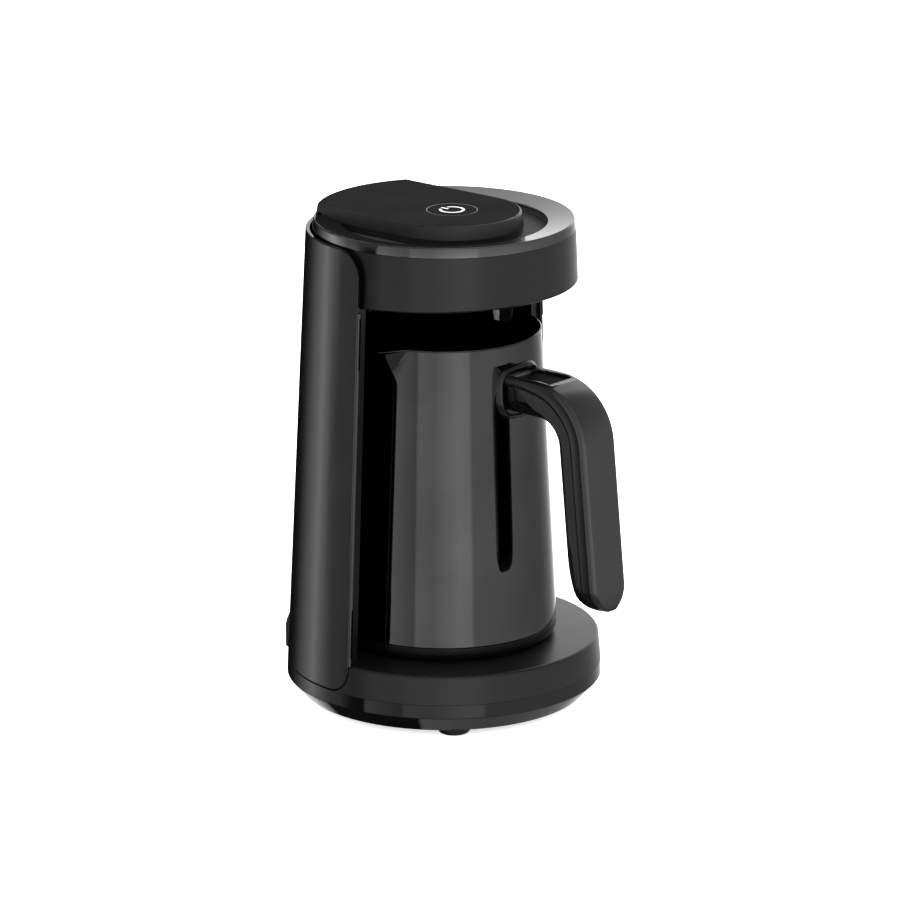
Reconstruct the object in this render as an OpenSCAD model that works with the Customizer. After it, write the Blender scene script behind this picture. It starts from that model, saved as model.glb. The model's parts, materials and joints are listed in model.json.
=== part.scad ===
// Electric Turkish coffee maker: a cordless pot on a round base, with a C-shaped column
// at the back that carries the control head over the pot.
// Frame: +Z up, Z = 0 on the table, handle and front towards -Y, +X to the right,
// origin at the centre of the footprint.  All sizes in millimetres, angles in degrees.

/* [Base] */
// How far the base stands out beyond the column's lower edge
base_lip = 1; // [0.5:0.1:2]
// How far the slanted side of the bottom pan runs inwards
pan_slant = 8; // [6:0.5:10]
// Height of the slanted side of the bottom pan
pan_rise = 8.5; // [7:0.5:11]
// Height of the upright ring of the bottom pan
ring_h = 6.8; // [6:0.2:9]
// Height of the platform shell above that ring
platform_h = 14.1; // [13:0.1:18]
// Inward lean of the platform's side over its height
platform_draft = 1.2; // [0.6:0.1:2]
// Radius of the platform's upper edge
platform_edge_r = 1.6; // [1:0.1:2.2]

/* [Feet] */
// Diameter of a rubber foot
foot_d = 17; // [12:0.5:20]
// How far a foot stands out of the pan
foot_proud = 3.3; // [2.5:0.1:5]
// Depth of the socket that a foot is glued into
foot_socket = 1.2; // [0.8:0.1:1.6]
// Distance from the edge of the base to the centre of a foot
foot_inset = 18; // [17:0.5:24]

/* [Column] */
// Free gap between the column and the pot, at the pot's lower edge
bay_gap_low = 13.2; // [11:0.2:16]
// Free gap between the column and the pot, at the pot's rim
bay_gap_high = 14.8; // [12:0.2:18]
// Thickness of the back cover
skin_t = 2.2; // [1.8:0.1:2.6]
// Radial depth of the column from the pot bay to the outside
column_t = 7; // [6.5:0.1:8]
// How far the column's front edges stand in front of its axis
column_front = 4; // [1:0.5:8]
// Corner radius of the back cover at the head
skin_corner_top = 13; // [8:0.5:16]
// Corner radius of the back cover at the base
skin_corner_bottom = 11; // [7:0.5:14]

/* [Head] */
// Free height between platform and head, on the axis
bay_h = 176; // [170:1:190]
// Height of the head shell, on the axis
head_h = 28.1; // [26:0.1:34]
// Rise of the head's underside towards the front
head_tilt = 2; // [0:0.1:3]
// How far the back cover stands proud of the head shell
skin_step = 3.2; // [2.9:0.1:3.8]
// Width of the shadow gap on the head beside the back cover
shadow_w = 1.1; // [0.8:0.1:1.6]
// Depth of that gap
shadow_depth = 1.5; // [1:0.1:1.8]
// Width of the stepped border beside the gap
step_w = 1.5; // [1:0.1:2.5]
// Depth of that step
step_depth = 0.45; // [0.3:0.05:0.8]
// Height of the metallic trim band
band_h = 4.9; // [4:0.1:6.5]
// Inward lean of the trim band over its height
band_draft = 1.1; // [0.4:0.1:1.6]
// Width of the trim ring, seen from above
trim_w = 12.9; // [11:0.1:15]
// Fall of the trim ring's top towards the recess
ring_fall = 2; // [1:0.1:2.6]
// Depth of the recess floor below the trim band's top
recess_depth = 6.2; // [5.4:0.1:8]

/* [Control pod] */
// Free width of the recess on each side of the control pod
pod_side = 16; // [14:0.2:20]
// Distance from the head's axis to the centre of the pod's round end
pod_front = 5; // [2:0.5:8]
// Height of the pod above the trim band
pod_proud = 4.1; // [3:0.1:6]
// Height of the pod's upper wall, down to its shadow line
pod_lip_h = 7; // [5:0.1:8]
// How much wider the pod is at its shadow line
pod_flare = 0.9; // [0.4:0.1:1.4]
// Radius of the pod's upper edge
pod_edge_r = 1.3; // [0.8:0.1:2]
// Diameter of the power button
button_d = 24; // [18:0.2:26]
// Width of the light ring round the button
light_ring_w = 0.45; // [0.4:0.05:1]
// Travel of the button
button_travel = 0.6; // [0.3:0.05:0.8]
// Outer diameter of the power symbol
symbol_d = 12.6; // [8:0.2:15]
// Line width of the power symbol
symbol_line = 1.3; // [0.7:0.1:1.5]

/* [Sensor] */
// Distance of the foam sensor from the pot's rim, inwards
sensor_inset = 10.4; // [8:0.2:12]
// Diameter of the sensor housing where it leaves the head
sensor_d = 11; // [10:0.5:13]
// How far the sensor hangs below the head's underside, on the axis
sensor_drop = 12.6; // [11:0.2:14]

/* [Pot] */
// Outer diameter of the pot body at its lower edge
pot_bottom_d = 110.8; // [104:0.2:114]
// Outer diameter of the pot at its rim
pot_rim_d = 94.8; // [90:0.2:98]
// Height of the pot body from its lower edge to its rim
pot_h = 147.2; // [140:0.2:149]
// Thickness of the pot's metal wall
pot_wall = 1; // [0.8:0.1:1.4]
// Height of the visible band of the pot's plastic base
pot_band_h = 2.7; // [2:0.1:4]
// Radius of the undercut below that band
pot_undercut = 4.5; // [3.5:0.1:5.5]

/* [Spout] */
// Direction of the spout, turned from the handle
spout_turn = 90; // [75:1:105]
// How far the spout's tip stands out from the rim
spout_reach = 7.5; // [5:0.5:9]
// Half the width of the spout at the rim
spout_half_w = 14; // [10:0.5:17]
// Height of the spout's beak
spout_h = 18; // [14:0.5:24]
// How far the lip falls at the tip
spout_dip = 1.2; // [0.4:0.1:2.4]

/* [Handle] */
// Width of the handle
handle_w = 23; // [20:0.5:25]
// Depth of the handle, from its inner to its outer face
handle_depth = 16; // [14:0.5:17]
// Height of the arm's centre line above the platform
arm_height = 131; // [122:0.5:134]
// Length of the straight arm, from the collar to the start of the bend
arm_run = 13.1; // [11:0.1:20]
// Radius of the bend, on the centre line
bend_r = 21.7; // [18:0.1:25]
// Outward lean of the grip
grip_lean = 5.85; // [2:0.05:8]
// Length of the straight grip, down to its tip
grip_len = 82; // [65:0.5:88]
// Length over which the grip's inner face runs out to the tip
tip_len = 28; // [20:0.5:32]
// Share of the depth taken by the outer cover
cover_share = 0.42; // [0.36:0.01:0.45]
// Width of the mounting pad on the pot
pad_w = 32; // [29:0.5:34]
// Height of the mounting pad on the pot
pad_h = 27; // [24:0.5:29]
// Thickness of the mounting pad
pad_t = 2.6; // [2:0.1:3.2]
// Length of the collar between the pad and the arm
collar_len = 2.8; // [2:0.1:4]
// How far the collar spreads where it meets the pad
collar_flare = 2.8; // [1.5:0.1:3.4]
// Length of the open window in the top of the arm
slot_len = 19; // [12:0.5:22]
// Width of that window
slot_w = 15.4; // [11:0.2:17]

/* [Cord outlet] */
// Width of the cord outlet housing
outlet_w = 48; // [36:1:56]
// Height of the cord outlet housing
outlet_h = 24; // [22:0.5:26]
// How far the outlet stands behind the base's edge
outlet_proud = 2.4; // [1.6:0.1:4]
// Diameter of the hole in the cord gland
cord_hole_d = 6.6; // [5:0.1:8]

/* [Connector] */
// Diameter of the power spigot on the platform
spigot_d = 23; // [20:0.2:26]
// Height of the power spigot above the platform
spigot_h = 5; // [4:0.1:6]

/* [Walls and clearances] */
// Wall of the moulded shells
wall = 2.4; // [2:0.1:3]
// Gap between separate covers
cover_gap = 0.3; // [0.2:0.05:0.5]
// Clearance of the button and its plunger in their guides
guide_gap = 0.1; // [0.06:0.01:0.15]
// Clearance of the power spigot in the pot's connector
spigot_gap = 0.6; // [0.4:0.05:0.9]
// Diameter of the screw shanks
screw_d = 3; // [2.5:0.1:3.5]

/* [Hidden] */
$fn = 96;
far = 120;
tiny = 0.01;

// Heights, from the table up
z_pan = foot_proud;
z_ring = z_pan + pan_rise;
z_seam = z_ring + ring_h;
z_top = z_seam + platform_h;
z_head = z_top + bay_h;
z_band = z_head + head_h;
z_rim = z_band + band_h;
z_floor = z_rim - recess_depth;
z_pod = z_rim + pod_proud;

// Pot
pot_z = z_top + pot_undercut + pot_band_h;
pot_rim_z = pot_z + pot_h;
function pot_r(z) = (pot_bottom_d + (pot_rim_d - pot_bottom_d) * (z - pot_z) / pot_h) / 2;
pot_floor_z = pot_z + 5.1;
plate_t = 2.5;
plate_z = pot_floor_z - plate_t;
pot_base_r = pot_r(pot_z) - 0.2;
pot_base_t = 2.2;
pot_sole = 1;

// Radii of the tapered column and head at a height: they stand round the pot
function bay_r(z) = pot_r(z) + bay_gap_low + (bay_gap_high - bay_gap_low) * (z - pot_z) / pot_h;
function skin_r(z) = bay_r(z) + column_t;
function head_r(z) = skin_r(z) - skin_step;
head_inner_r = head_r(z_band) - wall;
band_r = head_r(z_band);
rim_r = band_r - band_draft;
recess_r = rim_r - trim_w;
floor_t = 2;

// Radii of the base
base_r = skin_r(z_seam) + base_lip;
ring_r = base_r - 0.2;
platform_r = ring_r - platform_draft;
pan_floor_r = base_r - pan_slant;
foot_ring = base_r - foot_inset;

// Handle
arm_z = z_top + arm_height;
pad_face = pot_r(arm_z) + pad_t;
boss_face = pad_face + collar_len;
bend_z = arm_z - bend_r;
bend_turn = 90 - grip_lean;
bend_len = bend_r * bend_turn * PI / 180;
arm_reach = boss_face + arm_run;
path_len = arm_run + bend_len + grip_len;
cover_v = handle_depth / 2 - cover_share * handle_depth;

// The machine's axis stands behind the footprint's centre, because the handle reaches forward
grip_foot = arm_reach + bend_r * sin(bend_turn) + grip_len * sin(grip_lean);
front_reach = grip_foot + handle_depth / 2 * cos(grip_lean) - 0.7;
gland_proud = 0.8;
back_reach = base_r + outlet_proud + gland_proud;
axis_y = (front_reach - back_reach) / 2;

// Fasteners and their places
screw_r = screw_d / 2;
screw_head_r = screw_d * 0.95;
screw_head_h = 2;
boss_r = screw_r + 2.2;
base_screw_ring = foot_ring - 1;
floor_screw_ring = (recess_r + head_inner_r) / 2 + 0.4;
pot_screw_ring = 42;
pot_screw_turn = 30;

// Power connector
spigot_r = spigot_d / 2;
flange_r = spigot_r + 6.5;
flange_t = 2.4;
socket_r = spigot_r + spigot_gap;
connector_r = socket_r + 3;
well_r = 3.6;
pin_r = 1.5;
groove_in = 6.6;
groove_out = 9;
contact_t = 0.6;
well_depth = 4.2;
connector_top = plate_z - 1.2;

// Control parts, stacked below the button
button_r = button_d / 2;
cap_t = 2.4;
board_t = 1.6;
board_top = z_floor - floor_t - 1.6;
case_h = 3.4;
case_w = 6.2;
plunger_r = 1.7;
stem_r = 2.8;
plunger_h = 1.4;
light_outer_r = button_r + guide_gap + light_ring_w;
leg_w = 2;

// ---------------------------------------------------------------- shared shapes

// Everything is drawn round the machine's axis and moved to its place here
module at_axis() translate([0, axis_y, 0]) children();

module cone(r1, r2, z1, z2) translate([0, 0, z1]) cylinder(h = z2 - z1, r1 = r1, r2 = r2);

// Solid bounded by the back cover's outer surface, set in by inset
module skin_cone(inset, z1, z2) cone(skin_r(z1) - inset, skin_r(z2) - inset, z1, z2);

// Copies on a circle, count pieces from a start angle
module on_circle(radius, count, start = 0)
    for (i = [0 : count - 1]) rotate(start + i * 360 / count) translate([radius, 0, 0]) children();

// Everything behind a plane at y
module behind(y) translate([-far, y, -far]) cube([2 * far, 2 * far, 4 * far]);

// Rectangle from two corners with round corners of radius r
module round_rect(w, h, r) {
    square([w - 2 * r, h], center = true);
    square([w, h - 2 * r], center = true);
    for (x = [-1, 1], y = [-1, 1]) translate([x * (w / 2 - r), y * (h / 2 - r)]) circle(r);
}

// Side outline of the back cover, grown by g: its two front corners are round
module cover_outline(g) {
    y0 = -column_front - g;
    z0 = z_seam + cover_gap - g;
    z1 = z_band + g;
    rt = skin_corner_top + g;
    rb = skin_corner_bottom + g;
    translate([y0 + rt, z0]) square([far, z1 - z0]);
    translate([y0, z0 + rb]) square([far, z1 - z0 - rb - rt]);
    translate([y0 + rt, z1 - rt]) circle(rt);
    translate([y0 + rb, z0 + rb]) circle(rb);
    translate([y0 + rb, z0]) square([rt, z1 - z0 - rt]);
}

// That outline as a block right through the machine
module cover_block(g)
    rotate([90, 0, 90]) translate([0, 0, -far]) linear_extrude(2 * far) cover_outline(g);

// Half-space below the head's slanted underside, moved up by rise
module below_head(rise = 0)
    translate([0, 0, z_head + rise]) rotate([-head_tilt, 0, 0])
        translate([-far, -far, -2 * far]) cube([2 * far, 2 * far, 2 * far]);

// Cross-head screw, its shank along +Z from the underside of the head at z = 0
module screw(length, head_h = screw_head_h) {
    cylinder(h = length, r = screw_r);
    difference() {
        translate([0, 0, -head_h]) cylinder(h = head_h, r1 = screw_head_r - 0.7, r2 = screw_head_r);
        for (a = [0, 90]) rotate(a) translate([-screw_head_r * 0.6, -0.35, -head_h - tiny])
            cube([screw_head_r * 1.2, 0.7, head_h / 2]);
    }
}

// Closed solid through a list of rings that all have as many points
module loft(rings) {
    n = len(rings[0]);
    m = len(rings);
    middle = function (ring) [for (k = [0 : 2]) [for (p = ring) p[k]] * [for (p = ring) 1] / n];
    points = [for (ring = rings, p = ring) p, middle(rings[0]), middle(rings[m - 1])];
    sides = [for (j = [0 : m - 2], i = [0 : n - 1])
        let (a = j * n + i, b = j * n + (i + 1) % n)
        each [[a, b + n, b], [a, a + n, b + n]]];
    caps = [for (i = [0 : n - 1]) let (k = (i + 1) % n)
        each [[m * n, i, k], [m * n + 1, (m - 1) * n + k, (m - 1) * n + i]]];
    polyhedron(points, concat(sides, caps), convexity = 6);
}

// ---------------------------------------------------------------- base

module foot_places() on_circle(foot_ring, 4, 45) children();

module base_screw_places() for (a = [20, 160, 200, 340])
    rotate(a) translate([base_screw_ring, 0, 0]) children();

// Bottom pan: flat floor, slanted side and upright ring, with sockets for feet and screws
module bottom_pan() color([0.05, 0.05, 0.055]) at_axis() difference() {
    union() {
        rotate_extrude() polygon([
            [0, z_pan], [pan_floor_r, z_pan], [base_r, z_ring], [ring_r, z_seam],
            [ring_r - wall, z_seam], [base_r - wall, z_ring + 1],
            [pan_floor_r - 1, z_pan + wall], [0, z_pan + wall]
        ]);
        base_screw_places() translate([0, 0, z_pan]) cylinder(h = z_seam - z_pan, r = boss_r);
        translate([0, 0, z_pan]) for (x = [-1, 1], y = [-1, 1])
            translate([x * (mains_w / 2 - 5), y * (mains_d / 2 - 5), 0]) cylinder(h = post_h, r = 2.5);
    }
    foot_places() translate([0, 0, z_pan - tiny]) cylinder(h = foot_socket + tiny, r = foot_d / 2 + 0.1);
    base_screw_places() {
        translate([0, 0, z_pan - tiny]) cylinder(h = screw_head_h + 1, r = screw_head_r + 0.3);
        translate([0, 0, z_pan]) cylinder(h = far, r = screw_r + 0.1);
    }
}

// Four rubber feet with a slanted rim
module rubber_feet() color([0.03, 0.03, 0.03]) at_axis() foot_places() rotate_extrude() polygon([
    [0, 0], [foot_d / 2 - 2, 0], [foot_d / 2 - 0.4, 1.9], [foot_d / 2, 2.4],
    [foot_d / 2, z_pan + foot_socket], [0, z_pan + foot_socket]
]);

// Screws from below into the platform
module base_screws() color([0.55, 0.55, 0.57]) at_axis() base_screw_places()
    translate([0, 0, z_pan + screw_head_h + 1 - tiny]) screw(z_seam + 4 - z_pan);

// Platform shell: a round tray upside down, cut back where the back cover goes
module platform() color([0.09, 0.09, 0.095]) at_axis() difference() {
    rotate_extrude() {
        polygon([
            [0, z_seam], [ring_r, z_seam], [platform_r, z_top - platform_edge_r],
            [platform_r - platform_edge_r, z_top], [0, z_top]
        ]);
        translate([platform_r - platform_edge_r, z_top - platform_edge_r]) circle(platform_edge_r);
    }
    difference() {
        skin_cone(skin_t + cover_gap + wall, z_seam - 1, z_top - wall);
        base_screw_places() translate([0, 0, z_seam]) cylinder(h = far, r = boss_r);
    }
    difference() {
        cover_block(cover_gap + 0.2);
        skin_cone(skin_t + cover_gap, z_seam - 1, z_band);
    }
    base_screw_places() translate([0, 0, z_seam - 1]) cylinder(h = 9, r = screw_r);
    translate([0, 0, z_seam]) cylinder(h = far, r = spigot_r + 0.2);
    loom_path(0.5);
    cord_bore(gland_r + 0.1);
}

// Male half of the power connector: a spigot through the platform on a flange below it
module power_spigot() color([0.12, 0.12, 0.12]) at_axis() difference() {
    rotate_extrude() {
        polygon([
            [0, z_top - wall - flange_t], [flange_r, z_top - wall - flange_t],
            [flange_r, z_top - wall], [spigot_r, z_top - wall],
            [spigot_r, z_top + spigot_h - 1], [spigot_r - 1, z_top + spigot_h],
            [0, z_top + spigot_h]
        ]);
    }
    translate([0, 0, z_top + spigot_h - well_depth]) {
        cylinder(h = far, r = well_r);
        difference() {
            cylinder(h = far, r = groove_out);
            translate([0, 0, -tiny]) cylinder(h = far + 1, r = groove_in);
        }
    }
}

// Brass pin and ring in the spigot
module spigot_contacts() color([0.8, 0.62, 0.3]) at_axis()
    translate([0, 0, z_top + spigot_h - well_depth]) {
    cylinder(h = well_depth - 1, r = pin_r);
    difference() {
        cylinder(h = well_depth - 1, r = groove_out);
        translate([0, 0, -tiny]) cylinder(h = far, r = groove_out - contact_t);
    }
}

post_h = 6;
board_z = z_pan + post_h;
mains_w = 64;
mains_d = 48;

// A block that stands on the mains board: its near left corner and its size
module on_board(x, y, size) translate([x, y, board_z + board_t]) cube(size);

// Mains board on four posts of the pan
module power_board() color([0.1, 0.35, 0.15]) at_axis()
    translate([-mains_w / 2, -mains_d / 2, board_z]) cube([mains_w, mains_d, board_t]);

relay_size = [19, 15.5, 12];
core_size = [22, 18, 3];
coil_size = [16, 14, 8];

// Parts on the mains board
module relay() color([0.1, 0.2, 0.5]) at_axis() on_board(6 - mains_w / 2, 4 - mains_d / 2, relay_size);
module transformer() color([0.75, 0.6, 0.2]) at_axis() {
    on_board(4, 3 - mains_d / 2, core_size);
    translate([0, 0, core_size[2]])
        on_board(4 + (core_size[0] - coil_size[0]) / 2,
            3 - mains_d / 2 + (core_size[1] - coil_size[1]) / 2, coil_size);
}

pole_pitch = 8;
pole_r = 2.2;
block_h = 10;
block_d = 11;

// Terminal block with a well for each of the three wires
module terminal_block() color([0.2, 0.5, 0.3]) at_axis() difference() {
    on_board(-1.5 * pole_pitch, mains_d / 2 - 3 - block_d, [3 * pole_pitch, block_d, block_h]);
    for (i = [-1 : 1]) translate([i * pole_pitch, mains_d / 2 - 3 - block_d / 2, 0])
        translate([0, 0, board_z + board_t + block_h - 6]) cylinder(h = far, r = pole_r);
}

// Cord outlet: a low hood on the back of the base, drawn from its outline and cut to the base
module cord_outlet() color([0.05, 0.05, 0.055]) at_axis() difference() {
    intersection() {
        translate([0, base_r + outlet_proud, z_ring + outlet_h / 2]) rotate([90, 0, 0])
            linear_extrude(14) round_rect(outlet_w, outlet_h, 5);
        rotate([90, 0, 90]) translate([0, 0, -far]) linear_extrude(2 * far) polygon([
            [base_r - 12, z_ring], [base_r + outlet_proud - 1, z_ring],
            [base_r + outlet_proud, z_ring + 1], [base_r + outlet_proud, z_ring + outlet_h * 0.62],
            [skin_r(z_ring + outlet_h) + 0.2, z_ring + outlet_h],
            [base_r - 12, z_ring + outlet_h]
        ]);
    }
    cone(base_r + tiny, ring_r + tiny, z_ring, z_seam);
    cone(base_r, skin_r(z_seam + cover_gap) + tiny, z_seam - tiny, z_seam + cover_gap);
    skin_cone(-tiny, z_seam + cover_gap, z_band);
    cord_bore(gland_r + 0.1);
}

gland_r = cord_hole_d / 2 + 2.2;
cord_z = z_ring + outlet_h * 0.55;
gland_len = 12;

module cord_bore(r) translate([0, base_r + outlet_proud + 2, cord_z])
    rotate([90, 0, 0]) cylinder(h = 20, r = r);

// Rubber gland in the outlet, with the hole for the mains cord
module cord_gland() color([0.03, 0.03, 0.03]) at_axis()
    translate([0, back_reach, cord_z]) rotate([90, 0, 0]) difference() {
        union() {
            cylinder(h = gland_len, r = gland_r);
            cylinder(h = gland_proud, r1 = gland_r + 0.6, r2 = gland_r + 1.2);
        }
        translate([0, 0, -1]) cylinder(h = gland_len + 2, r = cord_hole_d / 2);
    }

// ---------------------------------------------------------------- column

// Inner half of the column: a C-shaped wall with front edges and ribs that back the cover
module column_frame() color([0.07, 0.07, 0.075]) at_axis() difference() {
    intersection() {
        union() {
            difference() {
                skin_cone(column_t - frame_wall, z_top, z_band);
                bay_space();
            }
            intersection() {
                difference() {
                    skin_cone(skin_t, z_top, z_band);
                    bay_space();
                }
                union() {
                    translate([-far, -far, 0]) cube([2 * far, far - column_front + 0.6 + wall, 2 * far]);
                    for (a = [-1, 1]) rotate(a * 38) translate([-1, 0, 0]) cube([2, far, 2 * far]);
                    for (z = [z_top, z_top + bay_h / 2, z_head - 6])
                        translate([-far, -far, z]) cube([2 * far, 2 * far, 2]);
                }
            }
        }
        behind(-column_front + 0.6);
        below_head();
    }
    loom_path(0.4);
}

frame_wall = 2;

// The pot's bay, bounded by the column's inner surface
module bay_space() cone(bay_r(z_top - 1), bay_r(z_band), z_top - 1, z_band);

// Glossy back cover: a tapered half shell with round front corners
module back_cover() color([0.03, 0.03, 0.035]) at_axis() difference() {
    intersection() {
        difference() {
            skin_cone(0, z_seam, z_band);
            skin_cone(skin_t, z_seam - tiny, z_band + tiny);
        }
        cover_block(0);
    }
    cord_bore(gland_r + 0.1);
}

// Flat loom of wires in the column, from the base to the head
module wire_loom() color([0.6, 0.1, 0.1]) at_axis() {
    loom_path(0);
    loom_tail(0);
}

// The loom runs beside the gland, turned round the axis
loom_turn = 17;
loom_w = 12;
loom_t = 1.6;
loom_top = z_head + 8;

// Stretch of the loom in the column, grown by g
module loom_path(g) rotate(loom_turn) {
    in_column = column_t - frame_wall - 0.2;
    z0 = z_seam - 4;
    intersection() {
        difference() {
            skin_cone(in_column - loom_t - g, z0, loom_top);
            skin_cone(in_column + g, z0 - tiny, loom_top + tiny);
        }
        translate([-loom_w / 2 - g, 0, z0]) cube([loom_w + 2 * g, far, loom_top - z0]);
    }
}

// Its tail, level in the head
module loom_tail(g) rotate(loom_turn) intersection() {
    translate([-loom_w / 2 - g, head_inner_r - 14, loom_top - loom_t - g])
        cube([loom_w + 2 * g, far, loom_t + 2 * g]);
    skin_cone(column_t - frame_wall - 0.3, z_head, z_band);
}

// ---------------------------------------------------------------- head

// Head shell: a tapered tube, cut slantwise below, with lugs for the floor's screws
module head_shell() color([0.13, 0.13, 0.135]) at_axis() difference() {
    intersection() {
        union() {
            difference() {
                cone(head_r(head_low), head_r(z_band), head_low, z_band);
                cone(head_r(head_low - 1) - wall, head_r(z_band + 1) - wall, head_low - 1, z_band + 1);
            }
            intersection() {
                floor_screw_places() translate([-boss_r, -boss_r, z_floor - floor_t - lug_h])
                    cube([far, 2 * boss_r, lug_h]);
                cone(head_r(head_low) - 1, head_r(z_band) - 1, head_low, z_band);
            }
        }
        head_cup();
    }
    head_step(shadow_w + step_w, step_depth);
    head_step(shadow_w, shadow_depth);
    floor_screw_places() translate([0, 0, z_floor - floor_t - lug_h + 1]) cylinder(h = lug_h, r = screw_r);
    loom_path(0.4);
    loom_tail(0.4);
}

edge_cut = 0.9;
head_low = z_head - 6;
lug_h = 9;

// Everything outside the head's wall set in by depth, beside the back cover by w
module head_step(w, depth) difference() {
    cover_block(w);
    cone(head_r(head_low - 1) - depth, head_r(z_band + 1) - depth, head_low - 1, z_band + 1);
}

// Space above the head's slanted lower edge, with the bevel round it
module head_cup() translate([0, 0, z_head]) rotate([-head_tilt, 0, 0])
    cylinder(h = far / 2, r1 = head_r(z_head) - edge_cut, r2 = head_r(z_head) - edge_cut + far / 2);

module floor_screw_places() on_circle(floor_screw_ring, 4, 45) children();

// Cover under the head, with a collar that carries the sensor
module head_underside() color([0.06, 0.06, 0.06]) at_axis() difference() {
    intersection() {
        union() {
            below_head(2.6);
            translate([0, -sensor_y, head_low]) cylinder(h = collar_h, r = sensor_r + 3);
        }
        cone(head_r(head_low) - wall, head_inner_r, head_low, z_band);
        head_cup();
    }
    translate([0, -sensor_y, head_low - 1]) cylinder(h = collar_h + 2, r = sensor_r + 0.1);
}

// Metallic trim: a band that carries on from the head and a ring that falls to the recess
module trim_ring() color([0.42, 0.42, 0.44]) at_axis() difference() {
    rotate_extrude() polygon([
        [head_inner_r + 0.4, z_band], [band_r, z_band], [band_r, z_band + 0.6], [rim_r + 0.45, z_rim - 0.5],
        [rim_r, z_rim], [rim_r - 0.9, z_rim - 0.15], [recess_r + 0.3, z_rim - ring_fall],
        [recess_r, z_rim - ring_fall - 0.3], [recess_r, z_tray], [recess_r + tray_wall, z_tray],
        [head_inner_r + 0.4, z_rim - 2.2]
    ]);
    pod_clearance();
}

tray_wall = 1.5;
z_tray = z_rim - ring_fall - 1.4;

// Room for the pod in the parts round it
module pod_clearance() difference() {
    pod_block(cover_gap / 2, z_floor, z_rim + 5);
    difference() {
        translate([0, 0, z_floor - 2]) cylinder(h = far, r = far);
        translate([0, 0, z_floor - 3]) cylinder(h = far + 2, r = pod_back_r + cover_gap / 2);
    }
}

// Recessed floor inside the trim ring: a tray whose wall ends below the ring's lip
module recess_floor() color([0.05, 0.05, 0.05]) at_axis() difference() {
    union() {
        translate([0, 0, z_floor - floor_t]) cylinder(h = floor_t, r = head_inner_r - 0.1);
        board_screw_places() translate([0, 0, board_top])
            cylinder(h = z_floor - board_top - 1, r = screw_r + 1.5);
        difference() {
            translate([0, 0, z_floor - 1]) cylinder(h = z_tray - z_floor + 1, r = recess_r + tray_wall);
            translate([0, 0, z_floor - 2]) cylinder(h = far, r = recess_r);
            pod_clearance();
        }
    }
    board_screw_places() translate([0, 0, board_top - 1]) cylinder(h = z_floor - board_top, r = screw_r);
    translate([0, -pod_front, 0]) cylinder(h = 2 * far, r = light_outer_r + 3);
    floor_screw_places() translate([0, 0, z_floor - floor_t - 1])
        cylinder(h = floor_t + 2, r = screw_r + 0.1);
    translate([0, buzzer_y, 0]) cylinder(h = 2 * far, r = buzzer_r + 1);
}

// Screws that hold the floor to the head shell
module floor_screws() color([0.55, 0.55, 0.57]) at_axis() floor_screw_places()
    translate([0, 0, z_floor]) mirror([0, 0, 1]) screw(floor_t + 7);

// ---------------------------------------------------------------- control pod

pod_r = recess_r - pod_side;
pod_back_r = rim_r - 3;

// Plan of the pod: straight sides, a round front, grown by g
module pod_plan(g) {
    translate([0, -pod_front]) circle(pod_r + g);
    translate([-pod_r - g, -pod_front]) square([2 * (pod_r + g), far]);
}

module pod_block(g, z1, z2) translate([0, 0, z1]) linear_extrude(z2 - z1) pod_plan(pod_flare + g);

// Section of the pod's edge, from its foot at z to its top, set in by inset
module pod_section(z, inset) {
    r = pod_r - inset;
    top = z_pod - inset;
    line_z = z_pod - pod_lip_h;
    e = max(pod_edge_r - inset, 0.1);
    polygon([
        [0, z], [r + pod_flare * 0.6, z], [r + pod_flare * 0.6, line_z - 0.7], [r + pod_flare, line_z],
        [r + pod_flare * 0.25, top - 2.5], [r, top - e], [r - e, top - e], [r - e, top], [0, top]
    ]);
    translate([r - e, top - e]) circle(e);
}

// The pod as a solid: its section turned round the front and drawn out to the back
module pod_solid(z, inset) {
    translate([0, -pod_front, 0]) {
        rotate_extrude() pod_section(z, inset);
        for (side = [0, 1]) mirror([side, 0, 0]) rotate([90, 0, 180])
            linear_extrude(far) mirror([1, 0, 0]) pod_section(z, inset);
    }
}

pod_wall = 2;

// Matte pod that carries the button
module control_pod() color([0.035, 0.035, 0.035]) at_axis() difference() {
    intersection() {
        difference() {
            pod_solid(z_floor, 0);
            intersection() {
                pod_solid(z_floor - 1, pod_wall);
                cylinder(h = 3 * far, r = pod_back_r - pod_wall);
            }
        }
        union() {
            cylinder(h = z_rim, r = pod_back_r);
            cone(rim_r - 0.2, rim_r - 1, z_rim, z_pod + 1);
        }
    }
    translate([0, -pod_front, z_pod - cap_t - 4]) cylinder(h = far, r = light_outer_r);
}

// Clear ring round the button with two legs down to the lamps
module light_ring() color([0.7, 0.72, 0.75]) at_axis() translate([0, -pod_front, 0]) {
    difference() {
        translate([0, 0, z_pod - 4]) cylinder(h = 4, r = light_outer_r);
        translate([0, 0, z_pod - 5]) cylinder(h = far, r = button_r + guide_gap);
    }
    for (side = [-1, 1]) intersection() {
        translate([side * (light_outer_r - leg_w / 2) - leg_w / 2, -leg_w / 2, board_top + 1])
            cube([leg_w, leg_w, z_pod - 4 - board_top - 1]);
        difference() {
            cylinder(h = 3 * far, r = light_outer_r);
            cylinder(h = 3 * far, r = button_r + guide_gap);
        }
    }
}

symbol_t = 0.3;
stem_bottom = board_top + case_h + plunger_h;

// Push cap with its stem and a shallow bed for the symbol
module power_button() color([0.04, 0.04, 0.04]) at_axis() translate([0, -pod_front, 0]) difference() {
    rotate_extrude() polygon([
        [0, stem_bottom], [stem_r, stem_bottom], [stem_r, z_pod - cap_t], [button_r, z_pod - cap_t],
        [button_r, z_pod - 0.2], [button_r - 0.2, z_pod], [0, z_pod]
    ]);
    translate([0, 0, z_pod - symbol_t]) linear_extrude(1) symbol_plan();
}

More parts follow.
